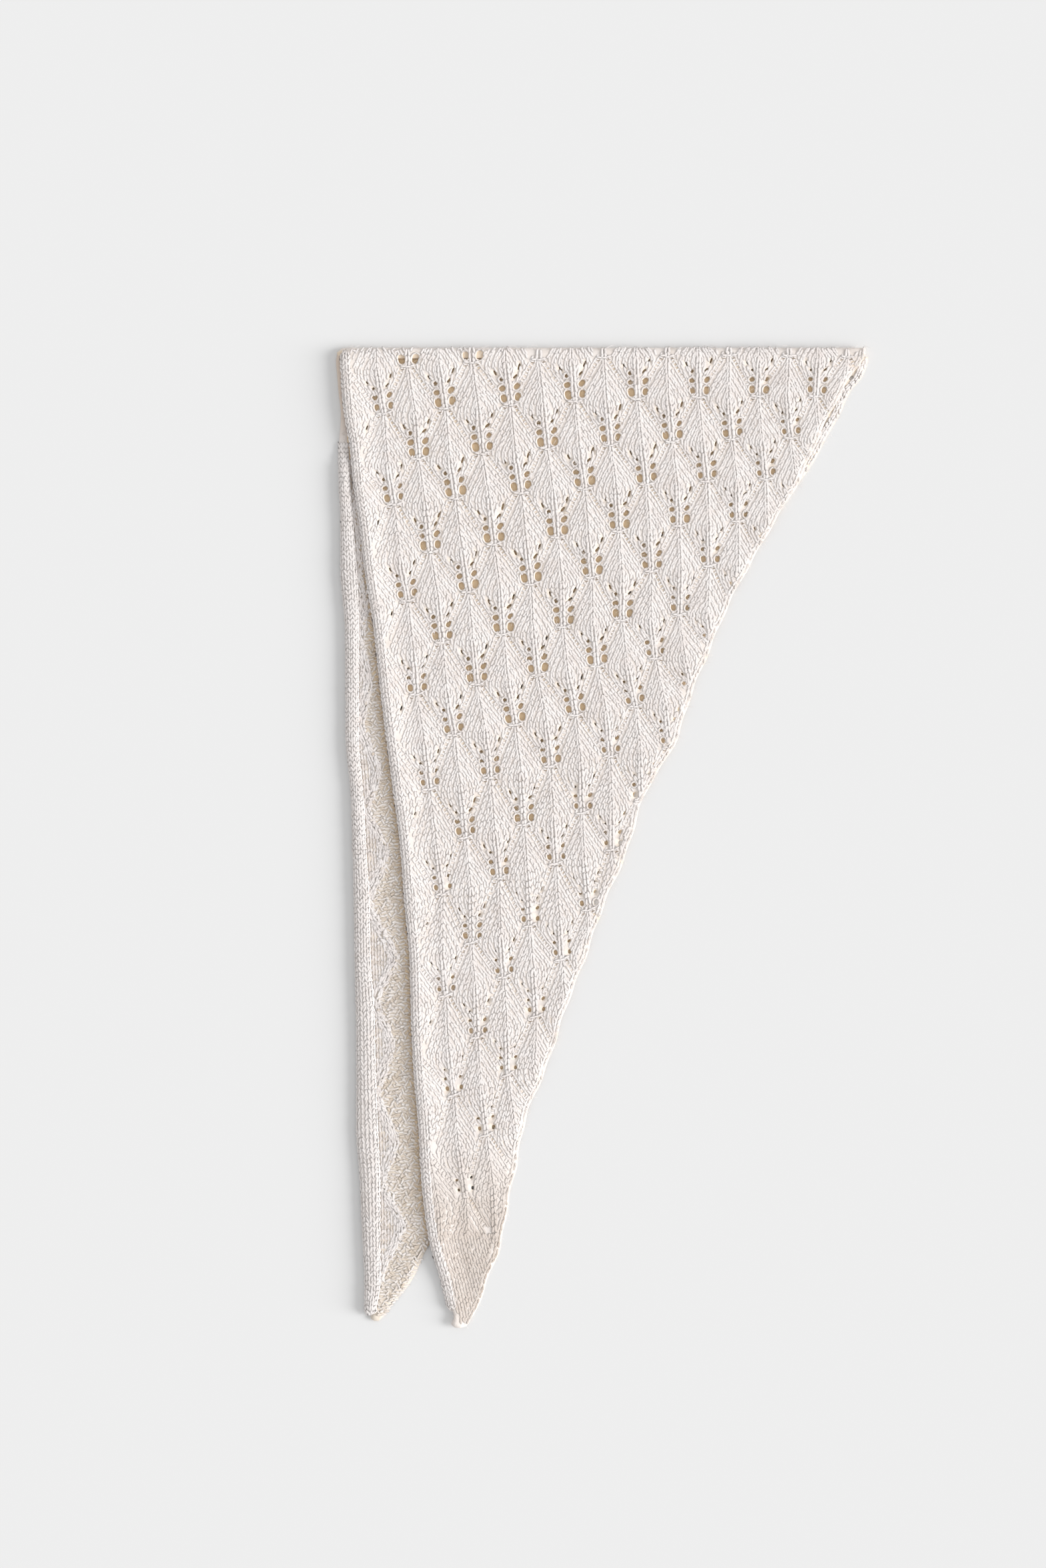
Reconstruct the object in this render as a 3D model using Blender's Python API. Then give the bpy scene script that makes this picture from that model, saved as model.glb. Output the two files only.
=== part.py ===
"""A knitted leaf-lace scarf, folded in half and laid flat.

The scarf is one long triangle of brushed yarn. It is folded across its middle with the
right side out, so two walls of lace lie on each other. The fold runs along the far side,
the long straight edges lie at the left, where the cloth curls, and the two tips point
towards the viewer. Plain sizes are in millimetres: "across" runs to the right from the
leftmost point, and "down" runs from the fold towards the tips.
"""

import math

import bmesh
import bpy
from mathutils import Vector
from mathutils.geometry import delaunay_2d_cdt

MM = 0.001

# Driving sizes of the folded scarf
WIDTH = 477.6
LENGTH = 880.8
BACK_LENGTH = 875.0
WALL = 3.0
SEAM = 0.3
FOLD_DEPTH = 10.0
FRONT_BASE = WALL + SEAM
FRONT_CURL_WIDTH = 9.0
FRONT_CURL_SHARE = 0.36
FRONT_CURL_HEIGHT = 5.5
BACK_CURL_HEIGHT = 7.0
BACK_CURL_FREE = (85.0, 115.0)
FRONT_CURL_END = 866.0
FRONT_CURL_SINKS = (795.0, 850.0)
FRONT_CURL_STEP = 5.0
FRONT_CURL_STEPS = 8
BACK_CURL_END = 862.0

# Where the front leaves the back's edge it sinks to the ground over this width
DROP_START = 3.0
DROP_WIDTH = 8.0
DROP_FROM = 600.0
DROP_FADE = 60.0
DROP_STEPS_BELOW = (784.0, 791.0, 797.0)
CREASE_CLEARANCE = 1.5
CREASE_SPAN = (130.0, 790.0)

# The zigzag ridge of the wrong side, on the strip beside the front
RIDGE_ROWS = (5, 18)
RIDGE_COLUMNS = (0.45, 1.0)
RIDGE_CLEARANCE = 5.0
RIDGE_HEIGHT = 1.4

# The lace: one big eyelet pair stands above each knot, and one leaf hangs below it
EYELET_LEFT, EYELET_RIGHT = 5.4, 7.2
EYELET_RISE = 6.6
EYELET_HALF_WIDTH = 3.0
EYELET_HALF_HEIGHT = 4.2
EYELET_LEAN = math.radians(10.0)
EYELET_CORNERS = {"front": 6, "back": 4}
EYELET_LIP = {"front": 0.7, "back": 0.0}
EDGE_MARGIN = 3.0
POINT_CLEARANCE = 6.0
ROW_BOW = 0.36
LAST_LACE_ROW = 17
LAST_BACK_ROW = 15
MOST_EYELETS = {"front": 150, "back": 150}
# The back's eyelets keep this far from a front one: beside it, and above and below it
APART_ASIDE, APART_ABOVE, APART_BELOW = 6.5, 19.0, 9.0

# The upper rows are drawn to the right between this place and the front's right edge
BULGE = 8.2
BULGE_LAST_ROW = 10.0
BULGE_FROM = 105.0

# The back's lace lies a little to the left of the front's, and is drawn up towards the fold
BACK_SHIFT = 28.0
BACK_SHIFT_PER_DOWN = 0.046
BACK_DRAW_UP = 0.94

SECTION_COLUMNS = ("down", "back_left", "curl_right", "front_left", "front_right", "back_right")
SECTIONS = (
    (0.0, 1.5, 12.0, 5.0, 476.0, 477.0),
    (10.0, 0.0, 12.0, 4.4, 473.0, 477.6),
    (25.0, 1.2, 12.0, 5.2, 464.0, 474.5),
    (40.0, 2.4, 12.0, 6.0, 455.5, 463.5),
    (60.0, 4.6, 11.8, 8.0, 445.0, 453.0),
    (90.0, 2.7, 11.4, 13.0, 430.0, 436.5),
    (120.0, 3.3, 12.6, 15.8, 417.0, 419.0),
    (160.0, 4.8, 15.5, 21.8, 393.0, 389.0),
    (200.0, 4.8, 18.5, 26.2, 369.6, 364.0),
    (250.0, 8.7, 20.4, 34.1, 345.6, 339.0),
    (300.0, 9.2, 20.4, 39.5, 324.6, 317.0),
    (350.0, 9.3, 20.4, 45.6, 307.8, 299.5),
    (400.0, 14.0, 24.2, 52.2, 279.6, 270.0),
    (450.0, 15.6, 27.0, 58.4, 262.8, 252.0),
    (500.0, 16.8, 30.0, 62.2, 242.4, 230.0),
    (550.0, 17.5, 31.0, 66.7, 223.8, 211.0),
    (600.0, 18.6, 34.5, 68.0, 205.8, 191.0),
    (650.0, 19.0, 35.5, 70.4, 188.4, 170.0),
    (700.0, 18.8, 37.5, 74.6, 169.8, 146.0),
    (750.0, 22.3, 39.4, 77.5, 159.6, 118.0),
    (800.0, 24.4, 39.6, 83.9, 150.0, 89.0),
    (840.0, 26.4, 39.6, 95.0, 136.2, 66.6),
    (868.0, 26.1, 36.0, 101.5, 126.5, 46.2),
    (875.0, 31.8, 36.0, 103.4, 122.0, 41.4),
    (880.8, 34.0, 36.0, 105.0, 118.8, 39.0),
)

# Each row of knots: its first knot, the pitch of its leaves and its climb from leaf to leaf.
# Rows with an even number start one half leaf further in, so the leaves lie in a half drop.
# Columns: row, across, down, pitch, climb.
KNOT_ROWS = (
    (-2, 60.0, -66.0, 56.2, -1.0),
    (-1, 36.0, -24.6, 56.0, -2.0),
    (0, 64.8, 17.0, 56.2, -3.7),
    (1, 43.5, 59.4, 55.1, -4.7),
    (2, 74.4, 100.2, 55.4, -5.3),
    (3, 52.5, 141.0, 55.3, -5.9),
    (4, 85.2, 183.9, 54.8, -7.3),
    (5, 64.8, 227.4, 53.8, -8.0),
    (6, 95.8, 265.0, 52.7, -7.7),
    (7, 72.9, 311.7, 53.2, -9.5),
    (8, 106.5, 348.3, 53.9, -9.7),
    (9, 84.6, 396.6, 53.9, -10.9),
    (10, 116.6, 440.4, 52.5, -11.9),
    (11, 96.3, 490.8, 50.7, -14.3),
    (12, 122.0, 534.6, 52.5, -15.4),
    (13, 99.0, 582.0, 52.2, -17.0),
    (14, 127.4, 619.8, 52.5, -19.1),
    (15, 106.5, 671.4, 48.0, -18.6),
    (16, 135.4, 707.4, 51.0, -20.0),
    (17, 117.0, 762.3, 48.0, -20.0),
    (18, 143.0, 800.0, 48.0, -20.0),
    (19, 127.0, 850.0, 48.0, -20.0),
)

# The raised form of one leaf, in half leaves across and half drops down from its knot.
# A row with a side of 1 is mirrored to both sides of the midrib.
# Columns: side, across, down, height.
LEAF_FORM = (
    (0, 0.0, 0.05, 1.0),
    (0, 0.0, 0.42, 2.4),
    (0, 0.0, 0.92, 2.6),
    (0, 0.0, 1.38, 1.9),
    (1, 0.34, 0.34, 0.9),
    (1, 0.70, 0.66, 0.2),
    (1, 0.42, 0.86, 2.0),
)

# Outline of a curl's section: share of its width from the left, share of its height.
BACK_CURL_FORM = (
    (1.00, 0.00),
    (0.18, 0.00),
    (0.04, 0.17),
    (0.00, 0.46),
    (0.07, 0.74),
    (0.25, 0.94),
    (0.52, 1.00),
    (0.84, 0.91),
    (1.00, 0.71),
    (0.97, 0.57),
    (0.75, 0.50),
    (0.75, 0.42),
    (1.00, 0.38),
)
FRONT_CURL_FORM = (
    (1.00, 0.00),
    (0.32, 0.00),
    (0.09, 0.13),
    (0.00, 0.40),
    (0.04, 0.69),
    (0.20, 0.91),
    (0.50, 1.00),
    (1.00, 0.89),
)
# The fold's section: depth from the far side and height, a wall bent round a narrow hollow.
FOLD_FORM = (
    (10.0, 0.0),
    (3.4, 0.0),
    (1.1, 0.9),
    (0.0, 2.7),
    (0.1, 4.8),
    (1.1, 6.6),
    (3.3, 7.7),
    (6.6, 7.6),
    (10.0, 6.9),
    (10.0, 3.9),
    (6.6, 4.5),
    (4.3, 4.3),
    (3.5, 3.7),
    (4.3, 3.1),
    (10.0, 3.0),
)
FOLD_ENDS = (1.0, 476.0)
FOLD_STATIONS = 20
FOLD_SIDE_STEPS = 10
FOLD_TOP_LIP = FOLD_FORM[8][1] - FRONT_BASE - WALL

MATERIALS = {
    "front_layer": ((0.76, 0.70, 0.65), 0.95),
    "back_layer": ((0.62, 0.55, 0.49), 0.95),
    "top_fold": ((0.78, 0.73, 0.68), 0.93),
    "front_edge_curl": ((0.74, 0.68, 0.62), 0.93),
    "back_edge_curl": ((0.80, 0.76, 0.72), 0.93),
}


def smooth_step(value):
    """0 below 0, 1 above 1, and a smooth rise between."""
    value = min(1.0, max(0.0, value))
    return value * value * (3.0 - 2.0 * value)


def section_value(column, down):
    """A column of the section table at any distance down, on a smooth curve that never overshoots."""
    place = SECTION_COLUMNS.index(column)
    rows = SECTIONS
    last = len(rows) - 2
    index = next((i for i in range(last + 1) if down <= rows[i + 1][0]), last)
    above, below = rows[index], rows[index + 1]
    step = below[0] - above[0]
    slope = (below[place] - above[place]) / step
    before = rows[max(0, index - 1)]
    after = rows[min(len(rows) - 1, index + 2)]
    slope_in, slope_out = slope, slope
    if index > 0:
        slope_in = gentle(slope, (above[place] - before[place]) / (above[0] - before[0]))
    if index < last:
        slope_out = gentle(slope, (after[place] - below[place]) / (after[0] - below[0]))
    t = (down - above[0]) / step
    rise = below[place] - above[place]
    ease = t * t * (3.0 - 2.0 * t)
    lean_in = step * slope_in * t * (1.0 - t) ** 2
    lean_out = step * slope_out * t * t * (1.0 - t)
    return above[place] + rise * ease + lean_in - lean_out


def gentle(first, second):
    """The slope where two runs meet: none at a peak, else their harmonic mean."""
    if first * second <= 0.0:
        return 0.0
    return 2.0 * first * second / (first + second)


def stations(start, end):
    """Distances down for the edge points: each row of the table, and half-way between rows far apart."""
    found = [start]
    for above, below in zip(SECTIONS, SECTIONS[1:]):
        if below[0] - above[0] > 30.0:
            found.append((above[0] + below[0]) / 2.0)
        found.append(below[0])
    return [start] + [down for down in sorted(set(found)) if start + 2.0 < down < end - 2.0] + [end]


def knot(column, row):
    """A point of the front's lace: half leaves across and half drops down, also between the knots."""
    row = min(max(row, KNOT_ROWS[0][0]), KNOT_ROWS[-1][0] - 0.001)
    upper = math.floor(row)
    share = row - upper
    ends = []
    for number in (upper, upper + 1):
        _, across, down, pitch, climb = KNOT_ROWS[number - KNOT_ROWS[0][0]]
        leaves = (column - (1 if number % 2 else 2)) / 2.0
        ends.append((across + leaves * pitch, down + leaves * climb + ROW_BOW * leaves * leaves))
    across, down = (a + (b - a) * share for a, b in zip(*ends))
    right = section_value("front_right", min(max(down, 0.0), LENGTH))
    way = min(1.0, max(0.0, (across - BULGE_FROM) / (right - BULGE_FROM)))
    bulge = BULGE * max(0.0, 1.0 - row / BULGE_LAST_ROW) * 4.0 * way * (1.0 - way)
    return across + bulge, down


def back_knot(column, row):
    """The same point in the back's lace, shifted and drawn up."""
    across, down = knot(column, row)
    down *= BACK_DRAW_UP
    return across - BACK_SHIFT - BACK_SHIFT_PER_DOWN * down, down


def lace_knots(last_row=LAST_LACE_ROW):
    """Column and row of each knot that a layer may hold."""
    for row in range(0, last_row + 1):
        for column in range(row % 2, 24, 2):
            yield column, row


def front_ground(across, down):
    """Height of the front's underside: on the back, and down on the ground past the back's edge."""
    past = across - section_value("back_right", down) - DROP_START
    drop = smooth_step((down - DROP_FROM) / DROP_FADE) * smooth_step(past / DROP_WIDTH)
    return FRONT_BASE * (1.0 - drop)


def inside(outline, across, down, margin):
    """Whether a point lies in the outline, at least a margin from each of its sides."""
    point = Vector((across, down))
    hit = False
    for (ax, ay), (bx, by) in zip(outline, outline[1:] + outline[:1]):
        if (ay > down) != (by > down) and across < ax + (bx - ax) * (down - ay) / (by - ay):
            hit = not hit
        run = Vector((bx - ax, by - ay))
        share = min(1.0, max(0.0, (point - Vector((ax, ay))).dot(run) / run.length_squared))
        if (point - Vector((ax, ay)) - run * share).length < margin:
            return False
    return hit


def clear_of_lines(lines, across, down, margin):
    """Whether a point keeps its distance from each crease."""
    for line in lines:
        for (ax, ay, _), (bx, by, _) in zip(line, line[1:]):
            run = Vector((bx - ax, by - ay))
            start = Vector((ax, ay))
            share = min(1.0, max(0.0, (Vector((across, down)) - start).dot(run) / run.length_squared))
            if (Vector((across, down)) - start - run * share).length < margin:
                return False
    return True


def eyelets(place, outline, lines, corners, last_row=LAST_LACE_ROW):
    """Centre and loop of each big eyelet that lies well inside a layer."""
    reach = EYELET_HALF_HEIGHT + EDGE_MARGIN
    found = []
    for column, row in lace_knots(last_row):
        x, y = place(column, row)
        above_x, above_y = place(column, row - 0.5)
        stem = Vector((above_x - x, above_y - y)).normalized()
        side = Vector((-stem.y, stem.x))
        for hand in (-1, 1):
            aside = EYELET_RIGHT if hand > 0 else -EYELET_LEFT
            centre = Vector((x, y)) + stem * EYELET_RISE + side * aside
            if not inside(outline, *centre, reach) or not clear_of_lines(lines, *centre, reach):
                continue
            lean = math.atan2(stem.y, stem.x) + EYELET_LEAN * hand
            long_way = Vector((math.cos(lean), math.sin(lean)))
            short_way = Vector((-long_way.y, long_way.x))
            turns = (math.tau * (k + 0.5) / corners for k in range(corners))
            high, wide = long_way * EYELET_HALF_HEIGHT, short_way * EYELET_HALF_WIDTH
            loop = [tuple(centre + high * math.cos(turn) + wide * math.sin(turn)) for turn in turns]
            found.append((centre, loop))
    return found


def leaf_points(outline, lines, holes):
    """Raised points of the front's leaves, kept clear of eyelets, creases and edges."""
    found = []
    for column, row in lace_knots():
        for side, across, down, height in LEAF_FORM:
            for hand in (-1, 1) if side else (0,):
                x, y = knot(column + across * hand, row + down)
                clear = all((Vector((x, y)) - centre).length > POINT_CLEARANCE for centre, _ in holes)
                clear = clear and clear_of_lines(lines, x, y, EDGE_MARGIN)
                if clear and inside(outline, x, y, EDGE_MARGIN):
                    found.append((x, y, height))
    return found


def fill(loops, extras, lines):
    """Triangles between an outline and its holes, through extra points and along creases."""
    points, edges, faces = [], [], []
    for loop in loops:
        first = len(points)
        points += [Vector(point[:2]) for point in loop]
        turn = sum(a[0] * b[1] - a[1] * b[0] for a, b in zip(loop, loop[1:] + loop[:1]))
        corners = list(range(first, len(points)))
        faces.append(corners if turn > 0 else corners[::-1])
    border = len(points)
    points += [Vector(point[:2]) for point in extras]
    for line in lines:
        first = len(points)
        points += [Vector(point[:2]) for point in line]
        edges += [(i, i + 1) for i in range(first, len(points) - 1)]
    made, _, triangles, sources, _, owners = delaunay_2d_cdt(points, edges, faces, 1, 1e-5)
    kept = [tri for tri, owner in zip(triangles, owners) if list(owner) == [0]]
    origin = [source[0] if source else None for source in sources]
    if len(made) != len(points) or None in origin:
        raise ValueError("an outline, an eyelet or a crease crosses another")
    return border, [[origin[i] for i in tri] for tri in kept]


def to_metres(across, down, height):
    return Vector((across - WIDTH / 2.0, LENGTH / 2.0 - down, height)) * MM


def finish(name, mesh_builder):
    """Turns a bmesh into a named object with its own material."""
    bmesh.ops.recalc_face_normals(mesh_builder, faces=mesh_builder.faces)
    mesh = bpy.data.meshes.new(name)
    mesh_builder.to_mesh(mesh)
    mesh_builder.free()
    body = bpy.data.objects.new(name, mesh)
    bpy.context.scene.collection.objects.link(body)
    colour, roughness = MATERIALS[name]
    material = bpy.data.materials.new(name + "_yarn")
    material.use_nodes = True
    shader = material.node_tree.nodes["Principled BSDF"]
    shader.inputs["Base Color"].default_value = (*colour, 1.0)
    shader.inputs["Roughness"].default_value = roughness
    shader.inputs["Metallic"].default_value = 0.0
    mesh.materials.append(material)
    return body


def lace_wall(name, outline, holes, lip, top_extras, top_lines, ground_lines, ground):
    """A flat wall pierced by eyelets: a plain underside, and raised points on its outer face."""
    loops = [outline] + [[(x, y, lip) for x, y in loop] for _, loop in holes]
    border, top_faces = fill(loops, top_extras, top_lines)
    _, under_faces = fill(loops, [], ground_lines)
    rim = [point for loop in loops for point in loop]
    top_points = rim + top_extras + [point for line in top_lines for point in line]
    under_points = rim + [point for line in ground_lines for point in line]
    build = bmesh.new()
    top = [build.verts.new(to_metres(x, y, ground(x, y) + WALL + h)) for x, y, h in top_points]
    under = [build.verts.new(to_metres(x, y, ground(x, y))) for x, y, _ in under_points]
    for tri in top_faces:
        build.faces.new([top[i] for i in tri])
    for tri in under_faces:
        build.faces.new([under[i] for i in reversed(tri)])
    first = 0
    for loop in loops:
        count = len(loop)
        for i in range(count):
            a, b = first + i, first + (i + 1) % count
            build.faces.new((top[a], top[b], under[b], under[a]))
        first += count
    return finish(name, build)


def loft(name, rings):
    """A closed solid through rings of the same number of points."""
    build = bmesh.new()
    made = [[build.verts.new(to_metres(*point)) for point in ring] for ring in rings]
    for one, two in zip(made, made[1:]):
        for i in range(len(one)):
            j = (i + 1) % len(one)
            build.faces.new((one[i], one[j], two[j], two[i]))
    build.faces.new(made[0])
    build.faces.new(list(reversed(made[-1])))
    return finish(name, build)


def front_curl_width(down):
    """The curl narrows with the tip."""
    breadth = section_value("front_right", down) - section_value("front_left", down)
    return min(FRONT_CURL_WIDTH, FRONT_CURL_SHARE * breadth)


def along_fold(right_end):
    """Even steps along the fold, from right to left, short of both ends."""
    return [right_end * k / FOLD_SIDE_STEPS for k in range(FOLD_SIDE_STEPS - 1, 0, -1)]


def edge_points(column, places, offset=0.0):
    """Points of a column of the section table, each with no extra height."""
    return [(section_value(column, down) + offset, down, 0.0) for down in places]


def front_outline():
    """The front layer's outline, with a height for each point over the plain wall."""
    top = FOLD_DEPTH + SEAM
    curl_lip = FRONT_CURL_HEIGHT * FRONT_CURL_FORM[-1][1] - WALL
    left = [
        (section_value("front_left", down) + front_curl_width(down) + SEAM, down, curl_lip)
        for down in stations(top, FRONT_CURL_END + SEAM)
    ]
    tip = edge_points("front_left", (FRONT_CURL_END + SEAM, BACK_LENGTH, LENGTH))
    right = edge_points("front_right", reversed(stations(top, LENGTH)))
    fold = [(across, top, FOLD_TOP_LIP) for across in along_fold(section_value("front_right", top))]
    return left + tip + right + fold


def back_outline():
    """The back layer's outline, plain all round."""
    top = FOLD_DEPTH + SEAM
    left = edge_points("curl_right", stations(top, BACK_CURL_END + SEAM), SEAM)
    tip = edge_points("back_left", (BACK_CURL_END + SEAM, 868.0, BACK_LENGTH))
    right = edge_points("back_right", reversed(stations(top, BACK_LENGTH)))
    fold = [(across, top, 0.0) for across in along_fold(section_value("back_right", top))]
    return left + tip + right + fold


def drop_lines():
    """Two creases down the front where it leaves the back's edge and sinks to the ground."""
    lines = []
    for offset in (DROP_START, DROP_START + DROP_WIDTH):
        line = []
        for down in stations(DROP_FROM, 775.0) + list(DROP_STEPS_BELOW):
            across = section_value("back_right", down) + offset
            if across < section_value("front_right", down) - EDGE_MARGIN:
                line.append((across, down, 0.0))
        lines.append(line)
    return lines


def build_front():
    outline = front_outline()
    plan = [point[:2] for point in outline]
    lines = drop_lines()
    holes = eyelets(knot, plan, lines, EYELET_CORNERS["front"])[:MOST_EYELETS["front"]]
    raised = leaf_points(plan, lines, holes)
    lace_wall("front_layer", outline, holes, EYELET_LIP["front"], raised, lines, lines, front_ground)
    return holes


def reverse_ridge(plan, crease, holes):
    """The zigzag ridge on the strip of wrong side that shows beside the front."""
    found = []
    for row in range(RIDGE_ROWS[0], RIDGE_ROWS[1] + 1):
        x, y = back_knot(RIDGE_COLUMNS[row % 2], row)
        x = min(x, section_value("front_left", y) - RIDGE_CLEARANCE)
        clear = all((Vector((x, y)) - centre).length > POINT_CLEARANCE for centre, _ in holes)
        if clear and inside(plan, x, y, EDGE_MARGIN) and clear_of_lines([crease], x, y, EDGE_MARGIN):
            found.append((x, y, RIDGE_HEIGHT))
    return found


def flat_ground(across, down):
    return 0.0


def apart(centre, others):
    """Whether a place on the back lies under none of the front's eyelets."""
    for other, _ in others:
        beside = abs(centre.x - other.x) < APART_ASIDE
        if beside and -APART_ABOVE < centre.y - other.y < APART_BELOW:
            return False
    return True


def build_back(front_holes):
    outline = back_outline()
    plan = [point[:2] for point in outline]
    crease = []
    for down in stations(*CREASE_SPAN):
        crease.append((section_value("front_left", down) - CREASE_CLEARANCE, down, 0.0))
    found = eyelets(back_knot, plan, [crease], EYELET_CORNERS["back"], LAST_BACK_ROW)
    hidden = [hole for hole in found if hole[0].x > section_value("front_left", hole[0].y)]
    holes = [hole for hole in hidden if apart(hole[0], front_holes)][:MOST_EYELETS["back"]]
    ridge = reverse_ridge(plan, crease, holes)
    lace_wall("back_layer", outline, holes, EYELET_LIP["back"], ridge, [crease], [], flat_ground)
    return holes


def build_back_curl():
    rings = []
    for down in stations(FOLD_DEPTH + SEAM, BACK_CURL_END):
        left = section_value("back_left", down)
        width = section_value("curl_right", down) - left
        start, end = BACK_CURL_FREE
        height = WALL + (BACK_CURL_HEIGHT - WALL) * smooth_step((down - start) / (end - start))
        rings.append([(left + share * width, down, rise * height) for share, rise in BACK_CURL_FORM])
    loft("back_edge_curl", rings)


def build_front_curl():
    rings = []
    upper = stations(FOLD_DEPTH + SEAM, FRONT_CURL_SINKS[0])
    sinking = [FRONT_CURL_SINKS[0] + FRONT_CURL_STEP * k for k in range(1, FRONT_CURL_STEPS + 1)]
    places = upper + sinking + [FRONT_CURL_SINKS[1], FRONT_CURL_END]
    for down in places:
        left = section_value("front_left", down)
        width = front_curl_width(down)
        ground = front_ground(left, down)
        ring = []
        for share, rise in FRONT_CURL_FORM:
            ring.append((left + share * width, down, ground + rise * FRONT_CURL_HEIGHT))
        rings.append(ring)
    loft("front_edge_curl", rings)


def build_fold():
    start, end = FOLD_ENDS
    rings = []
    for k in range(FOLD_STATIONS + 1):
        across = start + (end - start) * k / FOLD_STATIONS
        rings.append([(across, depth, height) for depth, height in FOLD_FORM])
    loft("top_fold", rings)


def main():
    for old in list(bpy.data.objects):
        bpy.data.objects.remove(old)
    front_holes = build_front()
    back_holes = build_back(front_holes)
    build_fold()
    build_front_curl()
    build_back_curl()
    print("eyelets cut through:", len(front_holes), "and", len(back_holes))


main()
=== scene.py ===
# %% [markdown]
# # A leaf-lace scarf, folded flat
# The real scarf is one long knitted triangle in a soft, brushed, off-white yarn. It is folded in half and
# lies on a pale surface, seen from straight above. This lesson dresses a plain solid model of it: two pierced
# sheets of lace, the curled long edges and the rounded fold are modelled as thin cloth. Thousands of small
# stitches are laid on them with Geometry Nodes, so that the ribs, leaves and eyelets are real shapes.

import math
from functools import partial

import bmesh
import bpy
import numpy as np
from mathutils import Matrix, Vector
from mathutils.geometry import delaunay_2d_cdt


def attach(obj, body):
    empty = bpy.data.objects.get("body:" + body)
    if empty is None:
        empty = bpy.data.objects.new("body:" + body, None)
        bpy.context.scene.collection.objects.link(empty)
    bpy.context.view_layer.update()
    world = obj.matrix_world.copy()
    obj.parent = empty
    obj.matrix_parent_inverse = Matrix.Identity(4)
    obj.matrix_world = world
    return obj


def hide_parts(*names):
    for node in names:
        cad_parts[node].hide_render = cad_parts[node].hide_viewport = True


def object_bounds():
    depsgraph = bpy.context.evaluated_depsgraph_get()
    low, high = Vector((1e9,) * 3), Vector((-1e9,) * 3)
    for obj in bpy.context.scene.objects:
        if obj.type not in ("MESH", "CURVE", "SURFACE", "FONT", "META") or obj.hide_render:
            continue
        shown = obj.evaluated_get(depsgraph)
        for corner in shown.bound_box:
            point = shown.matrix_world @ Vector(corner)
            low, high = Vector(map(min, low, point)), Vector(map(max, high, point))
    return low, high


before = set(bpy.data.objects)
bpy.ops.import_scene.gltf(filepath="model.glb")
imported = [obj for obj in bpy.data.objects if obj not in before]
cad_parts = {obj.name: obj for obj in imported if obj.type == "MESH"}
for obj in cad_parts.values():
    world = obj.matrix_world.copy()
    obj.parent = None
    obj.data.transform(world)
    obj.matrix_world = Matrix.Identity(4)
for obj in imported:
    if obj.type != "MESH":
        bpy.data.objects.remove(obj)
CAD_BOX = [list(corner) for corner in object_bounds()]
LEFT, FAR = CAD_BOX[0][0], CAD_BOX[1][1]
MM = 0.001
print("frame nodes:", sorted(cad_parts))

# %% [markdown]
# ## The plan of the scarf
# Everything is planned flat, in millimetres: "across" runs right from the leftmost point and "down" runs from
# the fold to the tips. One table holds the outline of both layers, and a smooth curve that never overshoots
# reads it at any place. A second table holds the rows of knots, the places where the lace is drawn together.

# %% Tables of the outline and of the rows of knots
SECTION_COLUMNS = ("down", "back_left", "curl_right", "front_left", "front_right", "back_right")
SECTIONS = np.array((
    (0, 1.5, 12, 5, 476, 477),
    (10, 0, 12, 4.4, 473, 477.6),
    (25, 1.2, 12, 5.2, 464, 474.5),
    (40, 2.4, 12, 6, 455.5, 463.5),
    (60, 4.6, 11.8, 8, 445, 453),
    (90, 2.7, 11.4, 13, 430, 436.5),
    (120, 3.3, 12.6, 15.8, 417, 419),
    (160, 4.8, 15.5, 21.8, 393, 389),
    (200, 4.8, 18.5, 26.2, 369.6, 364),
    (250, 8.7, 20.4, 34.1, 345.6, 339),
    (300, 9.2, 20.4, 39.5, 324.6, 317),
    (350, 9.3, 20.4, 45.6, 307.8, 299.5),
    (400, 14, 24.2, 52.2, 279.6, 270),
    (450, 15.6, 27, 58.4, 262.8, 252),
    (500, 16.8, 30, 62.2, 242.4, 230),
    (550, 17.5, 31, 66.7, 223.8, 211),
    (600, 18.6, 34.5, 68, 205.8, 191),
    (650, 19, 35.5, 70.4, 188.4, 170),
    (700, 18.8, 37.5, 74.6, 169.8, 146),
    (750, 22.3, 39.4, 77.5, 159.6, 118),
    (800, 24.4, 39.6, 83.9, 150, 89),
    (840, 26.4, 39.6, 95, 136.2, 66.6),
    (868, 26.1, 36, 101.5, 126.5, 46.2),
    (875, 31.8, 36, 103.4, 122, 41.4),
    (880.8, 34, 36, 105, 118.8, 39),
), float)
# Columns: row, across and down of its first knot, pitch, climb for each leaf.
KNOT_ROWS = np.array((
    (-2, 60, -66, 56.2, -1),
    (-1, 36, -24.6, 56, -2),
    (0, 64.8, 17, 56.2, -3.7),
    (1, 43.5, 59.4, 55.1, -4.7),
    (2, 74.4, 100.2, 55.4, -5.3),
    (3, 52.5, 141, 55.3, -5.9),
    (4, 85.2, 183.9, 54.8, -7.3),
    (5, 64.8, 227.4, 53.8, -8),
    (6, 95.8, 265, 52.7, -7.7),
    (7, 72.9, 311.7, 53.2, -9.5),
    (8, 106.5, 348.3, 53.9, -9.7),
    (9, 84.6, 396.6, 53.9, -10.9),
    (10, 116.6, 440.4, 52.5, -11.9),
    (11, 96.3, 490.8, 50.7, -14.3),
    (12, 122, 534.6, 52.5, -15.4),
    (13, 99, 582, 52.2, -17),
    (14, 127.4, 619.8, 52.5, -19.1),
    (15, 106.5, 671.4, 48, -18.6),
    (16, 135.4, 707.4, 51, -20),
    (17, 117, 762.3, 48, -20),
    (18, 143, 800, 48, -20),
    (19, 127, 850, 48, -20),
), float)
ROW_BOW = 0.36
LENGTH, HALF_LEAF, HALF_DROP, NEWTON_STEPS, NUDGE = 880.8, 27.5, 42.4, 8, 0.05
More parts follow.
